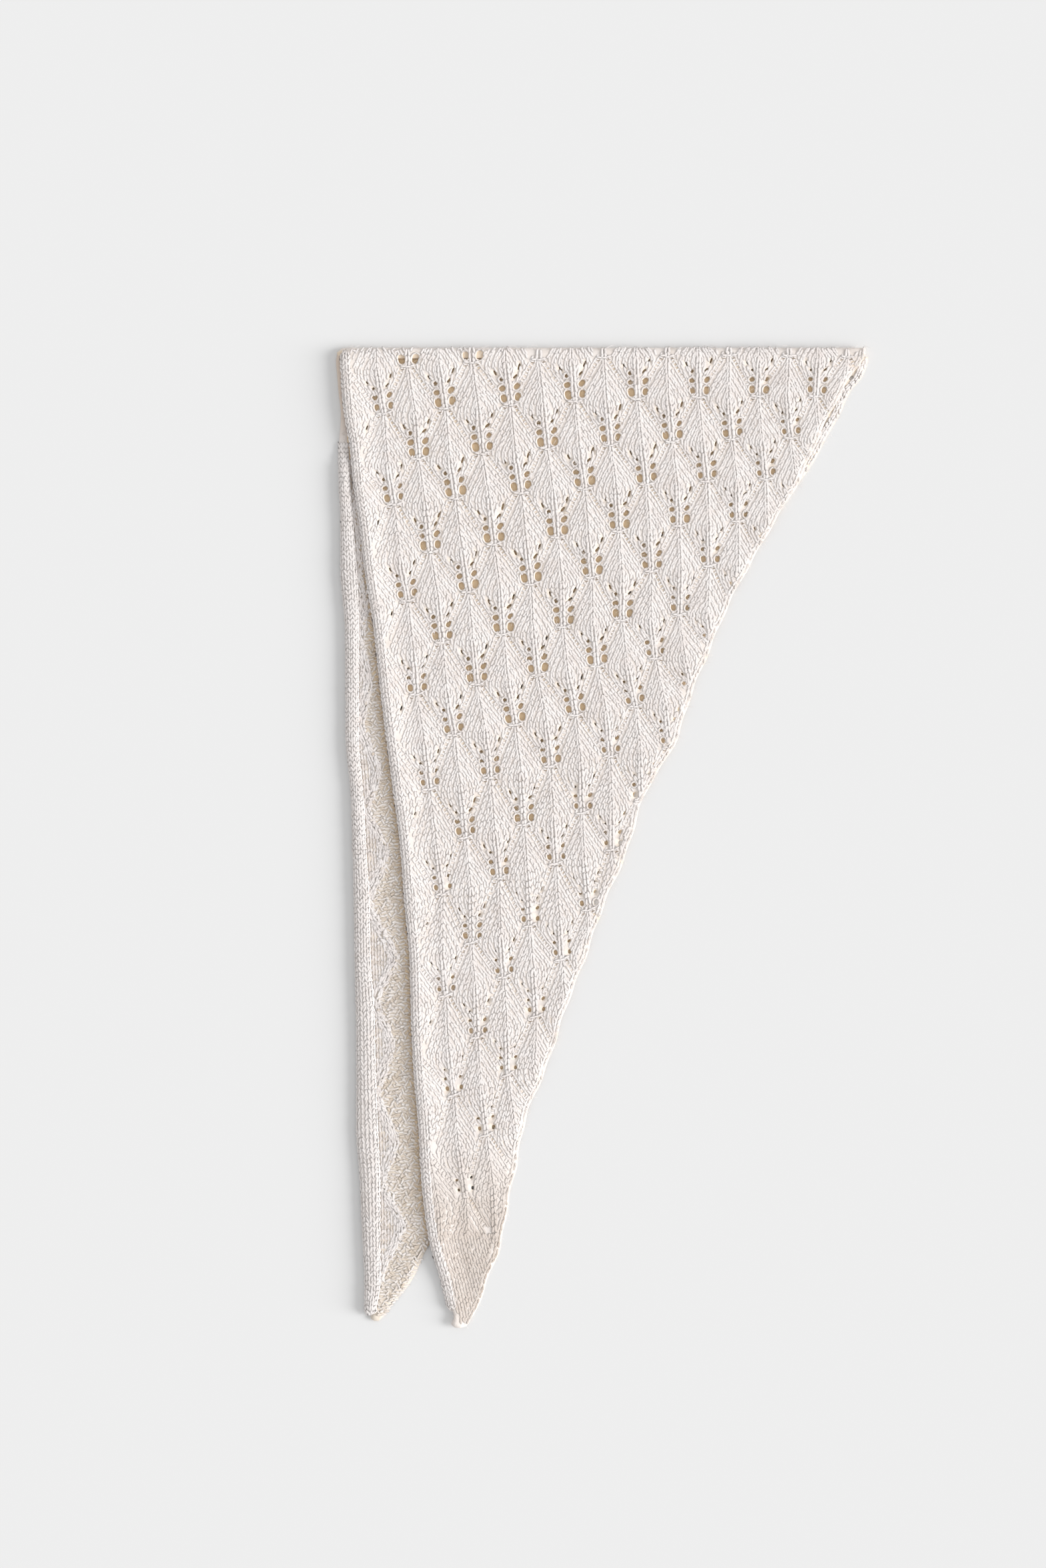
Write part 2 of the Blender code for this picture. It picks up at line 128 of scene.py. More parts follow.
# The upper rows are drawn to the right, most in the middle between this place and the front's right edge.
BULGE, BULGE_LAST_ROW, BULGE_FROM = 8.2, 10.0, 105.0
# The back's lace lies to the left of the front's, and is drawn up towards the fold.
BACK_SHIFT, BACK_SHIFT_PER_DOWN, BACK_DRAW_UP = 28.0, 0.046, 0.94


def smooth_step(value):
    value = np.clip(value, 0.0, 1.0)
    return value * value * (3.0 - 2.0 * value)


def rise(value, start, width):
    """0 before the start, 1 a width past it, and smooth between."""
    return smooth_step((value - start) / width)


def fall(value, end, width):
    """1 until a width before the end, 0 past it, and smooth between."""
    return smooth_step((end - value) / width)


def section(column, down):
    """A column of the outline table at any distances down, on a curve that never overshoots."""
    xs, ys = SECTIONS[:, 0], SECTIONS[:, SECTION_COLUMNS.index(column)]
    slopes = np.diff(ys) / np.diff(xs)
    product = slopes[:-1] * slopes[1:]
    total = np.where(np.abs(slopes[:-1] + slopes[1:]) < 1e-9, 1.0, slopes[:-1] + slopes[1:])
    inner = np.where(product > 0, 2.0 * product / total, 0.0)
    tangents = np.concatenate((slopes[:1], inner, slopes[-1:]))
    down = np.asarray(down, float)
    i = np.clip(np.searchsorted(xs, down, side="right") - 1, 0, len(xs) - 2)
    step = xs[i + 1] - xs[i]
    t = (down - xs[i]) / step
    ends = step * (tangents[i] * t * (1.0 - t) ** 2 - tangents[i + 1] * t * t * (1.0 - t))
    return ys[i] + (ys[i + 1] - ys[i]) * (t * t * (3.0 - 2.0 * t)) + ends


back_left, curl_right, front_left, front_right, back_right = (
    partial(section, column) for column in SECTION_COLUMNS[1:])


def knot(column, row):
    """Places in the front's lace, counted in half leaves across and half drops down."""
    column, row = np.asarray(column, float), np.asarray(row, float)
    first = int(KNOT_ROWS[0, 0])
    upper = np.clip(np.floor(row).astype(int), first, first + len(KNOT_ROWS) - 2)
    ends = []
    for number in (upper, upper + 1):
        _, across, down, pitch, climb = np.moveaxis(KNOT_ROWS[number - first], -1, 0)
        leaves = (column - np.where(number % 2, 1, 2)) / 2.0
        ends.append(np.array((across + leaves * pitch, down + leaves * climb + ROW_BOW * leaves * leaves)))
    across, down = ends[0] + (ends[1] - ends[0]) * (row - upper)
    right = front_right(np.clip(down, 0.0, LENGTH))
    way = np.clip((across - BULGE_FROM) / (right - BULGE_FROM), 0.0, 1.0)
    bulge = BULGE * np.maximum(0.0, 1.0 - row / BULGE_LAST_ROW) * 4.0 * way * (1.0 - way)
    return across + bulge, down


def lace_place(across, down):
    """The reverse of knot: columns and rows of places given in millimetres, by a few Newton steps."""
    column, row = (across - 15.0) / HALF_LEAF, (down - 17.0) / HALF_DROP
    for _ in range(NEWTON_STEPS):
        x, y = knot(column, row)
        xc, yc = knot(column + NUDGE, row)
        xr, yr = knot(column, row + NUDGE)
        a, b, c, d = (xc - x) / NUDGE, (xr - x) / NUDGE, (yc - y) / NUDGE, (yr - y) / NUDGE
        turn = a * d - b * c
        column = column + (d * (across - x) - b * (down - y)) / turn
        row = row + (a * (down - y) - c * (across - x)) / turn
    return column, row


def back_knot(column, row):
    across, down = knot(column, row)
    down = down * BACK_DRAW_UP
    return across - BACK_SHIFT - BACK_SHIFT_PER_DOWN * down, down


def stack(*columns):
    """Columns of numbers, or one number for a whole column, as rows."""
    return np.stack(np.broadcast_arrays(*columns), axis=-1).astype(float)


def to_frame(points):
    """Planned millimetres (across, down, height) to metres in the shared frame."""
    return np.asarray(points, float) * (MM, -MM, MM) + (LEFT, FAR, 0.0)


print("a knot in the middle lies at", [round(float(v), 1) for v in knot(6, 6)], "mm")

# %% [markdown]
# ## The ground and the leaves
# The front rests on the back, and sinks to the floor where it passes the back's edge. On top of that, each
# leaf is a soft pillow with a raised midrib and a fine dotted groove between it and its neighbours. The edge
# thins out, and the sheet climbs onto the curl at its left and over the fold. All of it is one height formula
# in the lace's own coordinates.

# %% Heights of the cloth
FRONT_BASE = 3.3
DROP_START, DROP_WIDTH, DROP_FROM, DROP_FADE = 1.0, 38.0, 600.0, 60.0
LEAF_PUFF, MIDRIB_RISE, STEM_RISE, GROOVE_DEPTH, GROOVE_WIDTH = 1.2, 0.45, 0.3, 0.5, 0.03
FRONT_CURL_WIDTH, FRONT_CURL_SHARE, FRONT_CURL_HEIGHT = 9.0, 0.36, 5.5
SHEET_TOP, BACK_TOP_HEIGHT, EDGE_THINNEST, EDGE_WIDTH = 1.4, 2.6, 0.3, 7.0
FOLD_EDGE, FOLD_CREST, FOLD_WAIST, FOLD_CREST_HEIGHT = 0.4, 3.8, 3.6, 7.4
# Both grooves of a leaf, in its slanted coordinates: how far each starts off the leaf's side, and its slope.
RIGHT_GROOVE, LEFT_GROOVE = (0.05, 0.13), (0.085, 0.07)
# Apexes of the smooth pale zone that zigzags beside the back's rolled edge: across and down.
PALE_APEXES = (
    (20, 120), (24, 175), (26, 235), (30, 300), (38.4, 379), (45, 453), (53.4, 547), (50.4, 626), (53.4, 713),
    (60, 790))
PALE_REACH, RIDGE_WIDTH, RIDGE_RISE = 44.0, 3.4, 0.5


def front_ground(across, down):
    drop = rise(down, DROP_FROM, DROP_FADE) * rise(across - back_right(down), DROP_START, DROP_WIDTH)
    return FRONT_BASE * (1.0 - drop)


def leaf_shares(column, row):
    """Place inside a leaf, along its two slanted sides: both shares are 0 at the knot above it."""
    p, q = (column + row) / 2.0, (row - column) / 2.0
    return p - np.floor(p), q - np.floor(q)


def off_grooves(fp, fq):
    """Distances from the groove that leaves a knot to the right, and from the one to the left."""
    return fq + RIGHT_GROOVE[0] - RIGHT_GROOVE[1] * fp, fp + LEFT_GROOVE[0] - LEFT_GROOVE[1] * fq


def groove_shares(fp, fq):
    """How strongly each place belongs to either groove."""
    return [
        np.exp(-(((off - np.round(off)) / GROOVE_WIDTH) ** 2)) * fall(run, 0.72, 0.5) * rise(run, 0.05, 0.08)
        for off, run in zip(off_grooves(fp, fq), (fp, fq))]


def leaf_height(column, row):
    fp, fq = leaf_shares(column, row)
    a, b = fp - fq, fp + fq
    dome = 16.0 * fp * (1.0 - fp) * fq * (1.0 - fq)
    roof = np.exp(-np.abs(a) / 0.2) * rise(b, 0.0, 0.3) * fall(b, 1.6, 0.5)
    stem = np.exp(-((a / 0.1) ** 2)) * rise(b, 1.25, 0.2)
    rightward, leftward = groove_shares(fp, fq)
    groove = np.maximum(rightward, 0.7 * leftward)
    return LEAF_PUFF * dome + MIDRIB_RISE * roof + STEM_RISE * stem - GROOVE_DEPTH * groove


def lace_fade(down):
    """The lace dies out into plain knitting towards the tip."""
    return 1.0 - 0.75 * rise(down, 780.0, 60.0)


def front_curl_width(down):
    return np.minimum(FRONT_CURL_WIDTH, FRONT_CURL_SHARE * (front_right(down) - front_left(down)))


def thinned(across, right):
    """How far inside its right edge a place is, and how full the cloth is there: it thins out."""
    edge = fall(across, right, EDGE_WIDTH)
    return edge, EDGE_THINNEST + (1.0 - EDGE_THINNEST) * edge


def front_height(across, down):
    """Top of the front's sheet: leaves over the ground, rising onto the curl at the left and the fold."""
    leaves = leaf_height(*lace_place(across, down)) * lace_fade(down)
    curl = smooth_step(1.0 - (across - front_left(down) - 3.5) / 24.0)
    fold = smooth_step(1.0 - (down - FOLD_CREST) / 16.0)
    edge, full = thinned(across, front_right(down))
    calm = (1.0 - 0.9 * np.maximum(curl, fold)) * (0.25 + 0.75 * edge)
    height = front_ground(across, down) + SHEET_TOP * full + leaves * calm
    height = height + curl * (FRONT_CURL_HEIGHT - SHEET_TOP - 0.6)
    round_off = np.clip((FOLD_CREST - down) / FOLD_CREST, 0.0, 0.99)
    crest = FOLD_WAIST + (FOLD_CREST_HEIGHT - FOLD_WAIST) * np.sqrt(1.0 - round_off ** 2)
    return height * (1.0 - fold) + fold * (crest + 0.3 * leaves * calm)


def pale_edge(down):
    """Where the smooth zone beside the band ends: it swells to an apex and shrinks back between two."""
    down = np.asarray(down, float)
    swell = np.zeros(down.shape)
    for apex_across, apex_down in PALE_APEXES:
        reach = apex_across - curl_right(apex_down) - 1.0
        share = np.clip(1.0 - np.abs(down - apex_down) / PALE_REACH, 0.0, 1.0)
        swell = np.maximum(swell, reach * (0.6 * share + 0.4 * smooth_step(share)))
    return curl_right(down) + 1.0 + swell


def back_height(across, down):
    """Top of the back's sheet: level, with but for a rounded ridge that the front leaves free."""
    free = fall(across, front_left(down), 8.0) * rise(down, 90.0, 60.0)
    ridge = np.exp(-(((across - pale_edge(down)) / RIDGE_WIDTH) ** 2))
    return BACK_TOP_HEIGHT * thinned(across, back_right(down))[1] + RIDGE_RISE * free * ridge


print("leaf height at its middle:", round(float(leaf_height(np.float64(6), np.float64(7))), 2), "mm")

# %% [markdown]
# ## Eyelets
# Above each knot the knitter made pairs of yarn-overs, two rows apart. They stay open as holes beside the
# stem, the lowest pair largest, and close to slits higher up. They shrink towards the tip and the slanting
# edge. All of them are real holes, cut through both sheets.

# %% Eyelets above each knot
# Columns: hand, rise above the knot, distance to the side, half width, half height, lean outwards in degrees.
EYELET_FORMS = (
    (-1, 6.4, 5.4, 2.9, 3.9, 8), (1, 6.4, 7.2, 2.9, 3.9, 11),
    (-1, 15.4, 5.8, 2.8, 2.3, 15), (1, 16, 7.4, 2.2, 3.2, 46),
    (-1, 23.6, 5.8, 1.8, 1.6, 45), (1, 24.8, 7, 1.1, 2.7, 48),
    (-1, 30, 10.6, 0.95, 2.4, 22), (1, 33, 11.4, 0.95, 3, 25),
)
EYELET_CORNERS, SQUARENESS, FARTHEST = 14, 2.5, 9.0
LAST_LACE_ROW, LAST_COLUMN = 17, 26
FIRST_COLUMNS_SIZE, SMALLER_BELOW, SMALLER_RIGHT, SMALLER_AT_EDGE = 0.82, 0.36, 0.14, 0.2
# How far an eyelet stays inside the front: the left column and its margin, the right column and the top.
FRONT_REACH = ("front_left", 7.0, "front_right", FOLD_EDGE + 0.5)
BACK_REACH = ("front_left", -4.0, "back_right", 12.0)


def eyelets(place, forms, left, margin, right, top, last_row=LAST_LACE_ROW, seed=4):
    """Centre, long way and half sizes of each eyelet inside a layer, as rows of numbers."""
    chance = np.random.default_rng(seed)
    found = []
    for column, row in [(c, r) for r in range(last_row + 1) for c in range(r % 2, LAST_COLUMN, 2)]:
        x, y = (float(v) for v in place(column, row))
        ux, uy = (float(v) for v in place(column, row - 0.5))
        stem = Vector((ux - x, uy - y)).normalized()
        side = Vector((-stem.y, stem.x))
        fading = 1.0 - SMALLER_BELOW * float(rise(row, 4.0, 11.0))
        rightward = FIRST_COLUMNS_SIZE if column < 2 else 1.0 - SMALLER_RIGHT * float(rise(column, 6.0, 6.0))
        edgeward = 1.0 - SMALLER_AT_EDGE * float(smooth_step((95.0 - float(section(right, y)) + x) / 60.0))
        for hand, up, off, half_wide, half_high, lean in forms:
            size = chance.uniform(0.84, 1.08) * fading * rightward * edgeward
            centre = Vector((x, y)) + stem * up + side * off * hand
            low, high = float(section(left, centre.y)) + margin, float(section(right, centre.y)) - 3.0
            reach = half_high + 1.6
            wide_at_side = column < 1 and half_wide > 1.0
            if wide_at_side or centre.y < top + reach or not low + reach < centre.x < high - reach:
                continue
            angle = math.atan2(stem.y, stem.x) + math.radians(lean + chance.uniform(-6, 6)) * hand
            turn = (math.cos(angle), math.sin(angle))
            found.append((centre.x, centre.y, *turn, half_high * size, half_wide * size))
    return np.array(found)


def eyelet_distance(holes, across, down):
    """How far each place is from the nearest eyelet's rim: below 1 is inside."""
    nearest = np.full(across.shape, FARTHEST)
    for x, y, cx, cy, high, wide in holes:
        near = np.flatnonzero((np.abs(across - x) < FARTHEST) & (np.abs(down - y) < FARTHEST))
        dx, dy = across[near] - x, down[near] - y
        along, aside = np.abs(dx * cx + dy * cy) / high, np.abs(dy * cx - dx * cy) / wide
        distance = (along ** SQUARENESS + aside ** SQUARENESS) ** (1.0 / SQUARENESS)
        nearest[near] = np.minimum(nearest[near], distance)
    return nearest


def apart(holes, others):
    """Holes of the back that lie under none of the front's: those would show the floor."""
    gap = holes[:, None, :2] - others[None, :, :2]
    under = (np.abs(gap[..., 0]) < 6.5) & (gap[..., 1] > -19.0) & (gap[..., 1] < 9.0)
    return holes[~under.any(axis=1)]


front_eyelets = eyelets(knot, EYELET_FORMS, *FRONT_REACH)
back_eyelets = apart(
    eyelets(back_knot, EYELET_FORMS[:4], *BACK_REACH, last_row=15, seed=9),
    eyelets(knot, EYELET_FORMS[:2], *FRONT_REACH))
print("eyelets in the front:", len(front_eyelets), "and in the back:", len(back_eyelets))

# %% [markdown]
# ## Finishes
# The yarn is a brushed wool blend: matte, with a soft sheen from its raised fibres, and a melange of
# off-white with a little grey and beige. Each stitch is a bundle of such fibres, so its fine pattern runs
# along its own UV map, while the larger clouds of colour are read in object space. Deep places look tan,
# because the light that reaches them has passed through more yarn. That tan is painted shade: a float
# attribute on each mesh says how much of it is mixed into the colour, and it also carries some random tone.

# %% Colours and the node helper
def srgb(text):
    """An sRGB hex value as linear red, green, blue and alpha."""
    parts = [int(text[i:i + 2], 16) / 255.0 for i in (1, 3, 5)]
    linear = [p / 12.92 if p <= 0.04045 else ((p + 0.055) / 1.055) ** 2.4 for p in parts]
    return (*linear, 1.0)


def add(tree, kind, links=None, **settings):
    """Adds a node, sets its properties, and fills its sockets with values or with other nodes' sockets."""
    made = tree.nodes.new(kind)
    for name, value in settings.items():
        setattr(made, name, value)
    for name, value in (links or {}).items():
        socket = made.inputs[name]
        if isinstance(value, bpy.types.NodeSocket):
            tree.links.new(value, socket)
        else:
            socket.default_value = value
    return made
def vector_math(tree, operation, links):
    return add(tree, "ShaderNodeVectorMath", links, operation=operation).outputs["Vector"]


def noise(tree, place, scale, detail=3.0, roughness=0.7):
    links = {"Vector": place, "Scale": scale, "Detail": detail, "Roughness": roughness}
    return add(tree, "ShaderNodeTexNoise", links).outputs["Fac"]


def read(tree, title, output="Fac"):
    return add(tree, "ShaderNodeAttribute", attribute_name=title).outputs[output]


def blend(tree, share, first, second, kind="RGBA"):
    links = {"Factor": share, "A": first, "B": second}
    return add(tree, "ShaderNodeMix", links, data_type=kind).outputs["Result"]
def new_material(name):
    material = bpy.data.materials.new(name)
    material.use_nodes = True
    material.node_tree.nodes.clear()
    return material, material.node_tree


print("off-white in linear light:", [round(v, 3) for v in srgb("#F6F2EC")])

# %% Brushed melange wool
YARN_GREY, PAINTED_SHADE_TAN = "#DED7D2", "#EAD1AE"
CLOUD_MM, FLECK_MM, FIBRE_MM = 11.0, 2.4, 0.9
STRAND_SCALE, GRAIN_STRENGTH, GRAIN_DEPTH = (7.0, 2.2, 40.0), 0.25, 0.0006
# Where each layer of the melange starts and ends in its noise, and how much of it shows at most.
CLOUD_LAYER, FLECK_LAYER, STRAND_LAYER = (0.4, 0.72, 0.7), (0.55, 0.8, 0.5), (0.5, 0.78, 0.22)
# Raised fibres scatter light much as level cloth does: the share of that calm normal, and how far it leans.
FUZZ_SOFTNESS, FUZZ_LEAN = 0.78, 0.42


def brushed_yarn(name, light, beige, painted_shade_colour=PAINTED_SHADE_TAN, stitched=False):
    """Fleece-like wool: clouds of beige, grey flecks, tan painted shade in recesses and the grain of its
    fibres.
    """
    material, tree = new_material(name)
    place = add(tree, "ShaderNodeTexCoord").outputs["Object"]
    normal = add(tree, "ShaderNodeNewGeometry").outputs["Normal"]
    grain_place, grain_scale = place, 1000.0 / FIBRE_MM
    if stitched:
        own = add(tree, "ShaderNodeCombineXYZ", {"Z": read(tree, "tone")}).outputs["Vector"]
        along_yarn = add(tree, "ShaderNodeUVMap", uv_map="UVMap").outputs["UV"]
        strands = add(tree, "ShaderNodeMapping", {
            "Vector": vector_math(tree, "ADD", {0: along_yarn, 1: own}), "Scale": STRAND_SCALE})
        grain_place, grain_scale = strands.outputs["Vector"], 1.0
        normal = blend(tree, FUZZ_SOFTNESS, normal, read(tree, "fuzz_normal", "Vector"), "VECTOR")
    fibres = noise(tree, grain_place, grain_scale)
    colour = srgb(light)
    for pattern, (low, high, most), tint in (
        (noise(tree, place, 1000.0 / CLOUD_MM, roughness=0.5), CLOUD_LAYER, beige),
        (noise(tree, place, 1000.0 / FLECK_MM, 4.0), FLECK_LAYER, YARN_GREY),
        (fibres, STRAND_LAYER, YARN_GREY),
    ):
        share = add(tree, "ShaderNodeMapRange", {
            "Value": pattern, "From Min": low, "From Max": high, "To Min": 0.0, "To Max": most})
        colour = blend(tree, share.outputs["Result"], colour, srgb(tint))
    grain = add(tree, "ShaderNodeBump", {
        "Height": fibres, "Strength": GRAIN_STRENGTH, "Distance": GRAIN_DEPTH, "Normal": normal})
    shader = add(tree, "ShaderNodeBsdfPrincipled", {
        # The base colour mixes in the tan of painted shade as far as the mesh's attribute asks.
        "Base Color": blend(tree, read(tree, "painted_shade_and_tone"), colour, srgb(painted_shade_colour)),
        "Roughness": 0.92, "Metallic": 0.0, "IOR": 1.5, "Specular IOR Level": 0.2,
        "Sheen Weight": 0.2, "Sheen Roughness": 0.6, "Sheen Tint": srgb("#FFFFFF"),
        "Normal": grain.outputs["Normal"]})
    add(tree, "ShaderNodeOutputMaterial", {"Surface": shader.outputs["BSDF"]})
    return material


# The last colour of each finish, or the default tan, is the tan of painted shade in its recesses.
stitch_yarn = brushed_yarn("brushed_wool_stitches", "#FAF4F1", "#F2E8E3", "#CDBBAA", stitched=True)
reverse_yarn = brushed_yarn("brushed_wool_reverse", "#FCF6F2", "#F3EAE1", "#DDCCB9", stitched=True)
ground_yarn = brushed_yarn("brushed_wool_ground", "#F2EAE5", "#E6DBD2")
wrong_side_yarn = brushed_yarn("brushed_wool_wrong_side", "#EEE4D8", "#E2D4C4")
band_yarn = brushed_yarn("brushed_wool_edge_band", "#F1EBE8", "#E8E0DC", "#CBB39A")
edge_yarn = brushed_yarn("brushed_wool_edge_stitches", "#F1EBE8", "#E8DFDA", stitched=True)
# Dark brown-grey yarn for strands that paint the shadow below each bar.
shadow_strand_yarn = brushed_yarn("brushed_wool_painted_shadow_strands", "#B4A08C", "#A28E7A", stitched=True)
finishes = (stitch_yarn, reverse_yarn, ground_yarn, wrong_side_yarn, band_yarn, edge_yarn, shadow_strand_yarn)
print("finishes:", [finish.name for finish in finishes])

# %% [markdown]
# ## Two pierced sheets
# Each layer is a thin wall of cloth. A Delaunay triangulation joins an outline, the eyelets' rims and an even
# net of points between them, which keeps every hole crisp with far fewer faces than a voxel or a Boolean. The
# flat triangles are then lifted to the height formula, and a second skin and the rims close the wall.

# %% Sheet builder
def link_piece(name, mesh):
    piece = bpy.data.objects.new(name, mesh)
    bpy.context.scene.collection.objects.link(piece)
    return piece


def make_mesh(name, vertices, faces, material, painted_shade_and_tone=None):
    """A plain mesh object in the scene, smooth shaded, with its attribute of painted shade and tone."""
    mesh = bpy.data.meshes.new(name)
    mesh.from_pydata([tuple(v) for v in vertices], [], [tuple(f) for f in faces])
    mesh.shade_smooth()
    mesh.materials.append(material)
    if painted_shade_and_tone is not None:
        depth = mesh.attributes.new("painted_shade_and_tone", "FLOAT", "POINT")
        depth.data.foreach_set("value", np.asarray(painted_shade_and_tone, np.float32))
    return link_piece(name, mesh)


def rim_loops(holes):
    turns = math.tau * (np.arange(EYELET_CORNERS) + 0.5) / EYELET_CORNERS
    out, over = (np.sign(f) * np.abs(f) ** (2.0 / SQUARENESS) for f in (np.cos(turns), np.sin(turns)))
    loops = []
    for x, y, cx, cy, high, wide in holes:
        along, aside = high * out, wide * over
        loops.append(stack(x + along * cx - aside * cy, y + along * cy + aside * cx))
    return loops


def inside_outline(outline, across, down):
    hit = np.zeros(across.shape, bool)
    for (ax, ay), (bx, by) in zip(outline, np.roll(outline, -1, axis=0)):
        if ay != by:
            hit ^= ((ay > down) != (by > down)) & (across < ax + (bx - ax) * (down - ay) / (by - ay))
    return hit


def edge_distance(outline, across, down):
    nearest = np.full(across.shape, 1e9)
    for a, b in zip(outline, np.roll(outline, -1, axis=0)):
        run = b - a
        share = np.clip(((across - a[0]) * run[0] + (down - a[1]) * run[1]) / (run @ run), 0.0, 1.0)
        nearest = np.minimum(nearest, np.hypot(across - a[0] - share * run[0], down - a[1] - share * run[1]))
    return nearest


def net_points(outline, holes, spacing):
    low, high = outline.min(axis=0), outline.max(axis=0)
    found = []
    for number, down in enumerate(np.arange(low[1], high[1], spacing * math.sqrt(0.75))):
        across = np.arange(low[0] + (number % 2) * spacing / 2.0, high[0], spacing)
        found.append(stack(across, down))
    points = np.concatenate(found)
    points += np.random.default_rng(2).uniform(-0.2, 0.2, points.shape) * spacing
    points = points[inside_outline(outline, points[:, 0], points[:, 1])]
    points = points[edge_distance(outline, points[:, 0], points[:, 1]) > spacing * 0.6]
    swollen = holes.copy()
    swollen[:, 4:] += spacing * 0.5
    return points[eyelet_distance(swollen, points[:, 0], points[:, 1]) > 1.0]


def pierced_sheet(name, outline, holes, height, wall, spacing, material, painted_shade_of):
    """A closed thin wall from a flat plan: top skin, under skin and rims."""
    loops = [outline] + rim_loops(holes)
    points = np.concatenate(loops + [net_points(outline, holes, spacing)])
    rims, first = [], 0
    for loop in loops:
        corners = list(range(first, first + len(loop)))
        nxt = np.roll(loop, -1, axis=0)
        turn = float(np.sum(loop[:, 0] * nxt[:, 1] - nxt[:, 0] * loop[:, 1]))
        rims.append(corners if turn > 0 else corners[::-1])
        first += len(loop)
    _, _, triangles, sources, _, owners = delaunay_2d_cdt([Vector(p) for p in points], [], rims, 1, 1e-6)
    origin = [source[0] for source in sources]
    kept = [[origin[i] for i in tri] for tri, owner in zip(triangles, owners) if list(owner) == [0]]
    across, down = points[:, 0], points[:, 1]
    top = height(across, down)
    walls = np.full(len(points), wall)
    walls[:len(outline)] = EDGE_WALL
    under = np.maximum(top - walls, UNDERSIDE)
    vertices = to_frame(np.concatenate((stack(across, down, top), stack(across, down, under))))
    count = len(points)
    # Planned "down" runs against Y, so a counter-clockwise plan faces the floor once it is in the frame.
    faces = [tuple(tri[::-1]) for tri in kept] + [tuple(i + count for i in tri) for tri in kept]
    for number, corners in enumerate(rims):
        ring = corners if number == 0 else corners[::-1]
        for i, j in zip(ring, ring[1:] + ring[:1]):
            faces.append((i, j, j + count, i + count))
    painted_shade_and_tone = painted_shade_of(across, down)
    return make_mesh(name, vertices, faces, material, np.concatenate((painted_shade_and_tone, painted_shade_and_tone)))


UNDERSIDE, EDGE_WALL = 0.02, 0.3
print("every sheet ends at least", UNDERSIDE, "mm above the floor")

# %% Outlines and painted shade of both sheets
def spaced(start, end, step=3.0):
    return np.linspace(start, end, max(2, int(round(abs(end - start) / step)) + 1))


def wavy(edge, down, swing, beat, slow):
    """An edge of the table with the small uneven waves of knitted rows."""
    return edge(down) + swing * np.sin(down / beat) + 0.6 * np.sin(down / slow + 1.0) - 0.6


def closed_outline(left, tip, right_down, right, top):
    across = spaced(float(right[-1]) - 3.0, float(left[0][0]) + 3.0)
    return np.concatenate((left, tip, stack(right, right_down), stack(across, top)))


def front_right_edge(down):
    return wavy(front_right, down, 0.8, 6.1, 14.3)


def back_right_edge(down):
    return wavy(back_right, down, 0.7, 7.3, 12.1)


def front_outline():
    left_down = spaced(FOLD_EDGE, 872.0)
    left = stack(front_left(left_down) + np.minimum(4.5, 0.5 * front_curl_width(left_down)), left_down)
    tip = np.array(((103.5, 877.0), (106.5, 880.2), (112.0, 880.8), (117.0, 879.6)))
    right_down = spaced(877.0, FOLD_EDGE)
    return closed_outline(left, tip, right_down, front_right_edge(right_down), FOLD_EDGE)


BACK_TOP, CURL_MIDDLE = 8.0, 0.45


def back_outline():
    left_down = spaced(BACK_TOP, 866.0)
    middle = CURL_MIDDLE * back_left(left_down) + (1.0 - CURL_MIDDLE) * curl_right(left_down)
    left = stack(middle, left_down)
    tip = np.array(((31.5, 872.5), (34.5, 874.6), (38.5, 874.8)))
    right_down = spaced(871.0, BACK_TOP)
    return closed_outline(left, tip, right_down, back_right_edge(right_down), BACK_TOP)


def front_painted_shade(across, down):
    """Painted shade: tan in the grooves below each knot, stronger in those that run to the right, round the
    eyelets and near the right edge.
    """
    rightward, leftward = groove_shares(*leaf_shares(*lace_place(across, down)))
    rim = 1.0 - smooth_step(eyelet_distance(front_eyelets, across, down) - 1.0)
    inner = smooth_step((across - front_left(down) - 22.0) / 14.0)
    groove = np.maximum(0.6 * leftward, rightward) * inner * lace_fade(down) * (1.0 - 0.4 * down / LENGTH)
    edge = smooth_step((across - front_right(down) + 4.0) / 3.0)
    return np.clip(0.03 + 0.75 * groove + 0.3 * rim + 0.15 * edge, 0.0, 1.0)


def back_painted_shade(across, down):
    """Painted shade: deep tan under the front and in the crevice beside its edge, and a little more tan over
    the purl zone.
    """
    hidden = smooth_step((across - front_left(down) + 8.0) / 6.0)
    hidden = hidden * smooth_step((front_right(down) - 5.0 - across) / 5.0)
    purl = smooth_step((across - pale_edge(down)) / 4.0) * fall(down, 840.0, 40.0)
    return np.clip(0.1 + 0.1 * purl + 0.9 * hidden, 0.0, 1.0)


FRONT_NET, BACK_NET, FRONT_SKIN, BACK_SKIN = 3.2, 5.2, 1.5, 9.0
front_edge, back_edge = front_outline(), back_outline()
front_lace = pierced_sheet(
    "front_lace", front_edge, front_eyelets, front_height, FRONT_SKIN, FRONT_NET, ground_yarn, front_painted_shade)
back_lace = pierced_sheet(
    "back_lace", back_edge, back_eyelets, back_height, BACK_SKIN, BACK_NET, wrong_side_yarn, back_painted_shade)
for sheet in (front_lace, back_lace):
    print(sheet.name, len(sheet.data.polygons), "faces")

# %% [markdown]
# ## Rolled edges and the fold
# Stocking stitch curls: the long edges roll in on themselves, and the fold is a soft bend. Each is a closed
# tube through sections that follow the outline table. A few points give the section, and cutting its corners
# off twice makes it smooth, as on any subdivided curve.

# %% Tubes through rounded sections
# Columns of the forms: share of the width from the left, share of the height.
BACK_CURL_FORM = (
    (1, 0), (0.18, 0), (0.04, 0.17), (0, 0.46), (0.07, 0.74), (0.25, 0.94), (0.52, 1), (0.84, 0.91),
    (1, 0.71), (0.97, 0.57), (0.75, 0.5), (0.75, 0.42), (1, 0.38))
FRONT_CURL_FORM = (
    (1, 0), (0.32, 0), (0.09, 0.13), (0, 0.4), (0.04, 0.69), (0.2, 0.91), (0.5, 1), (1, 0.89))
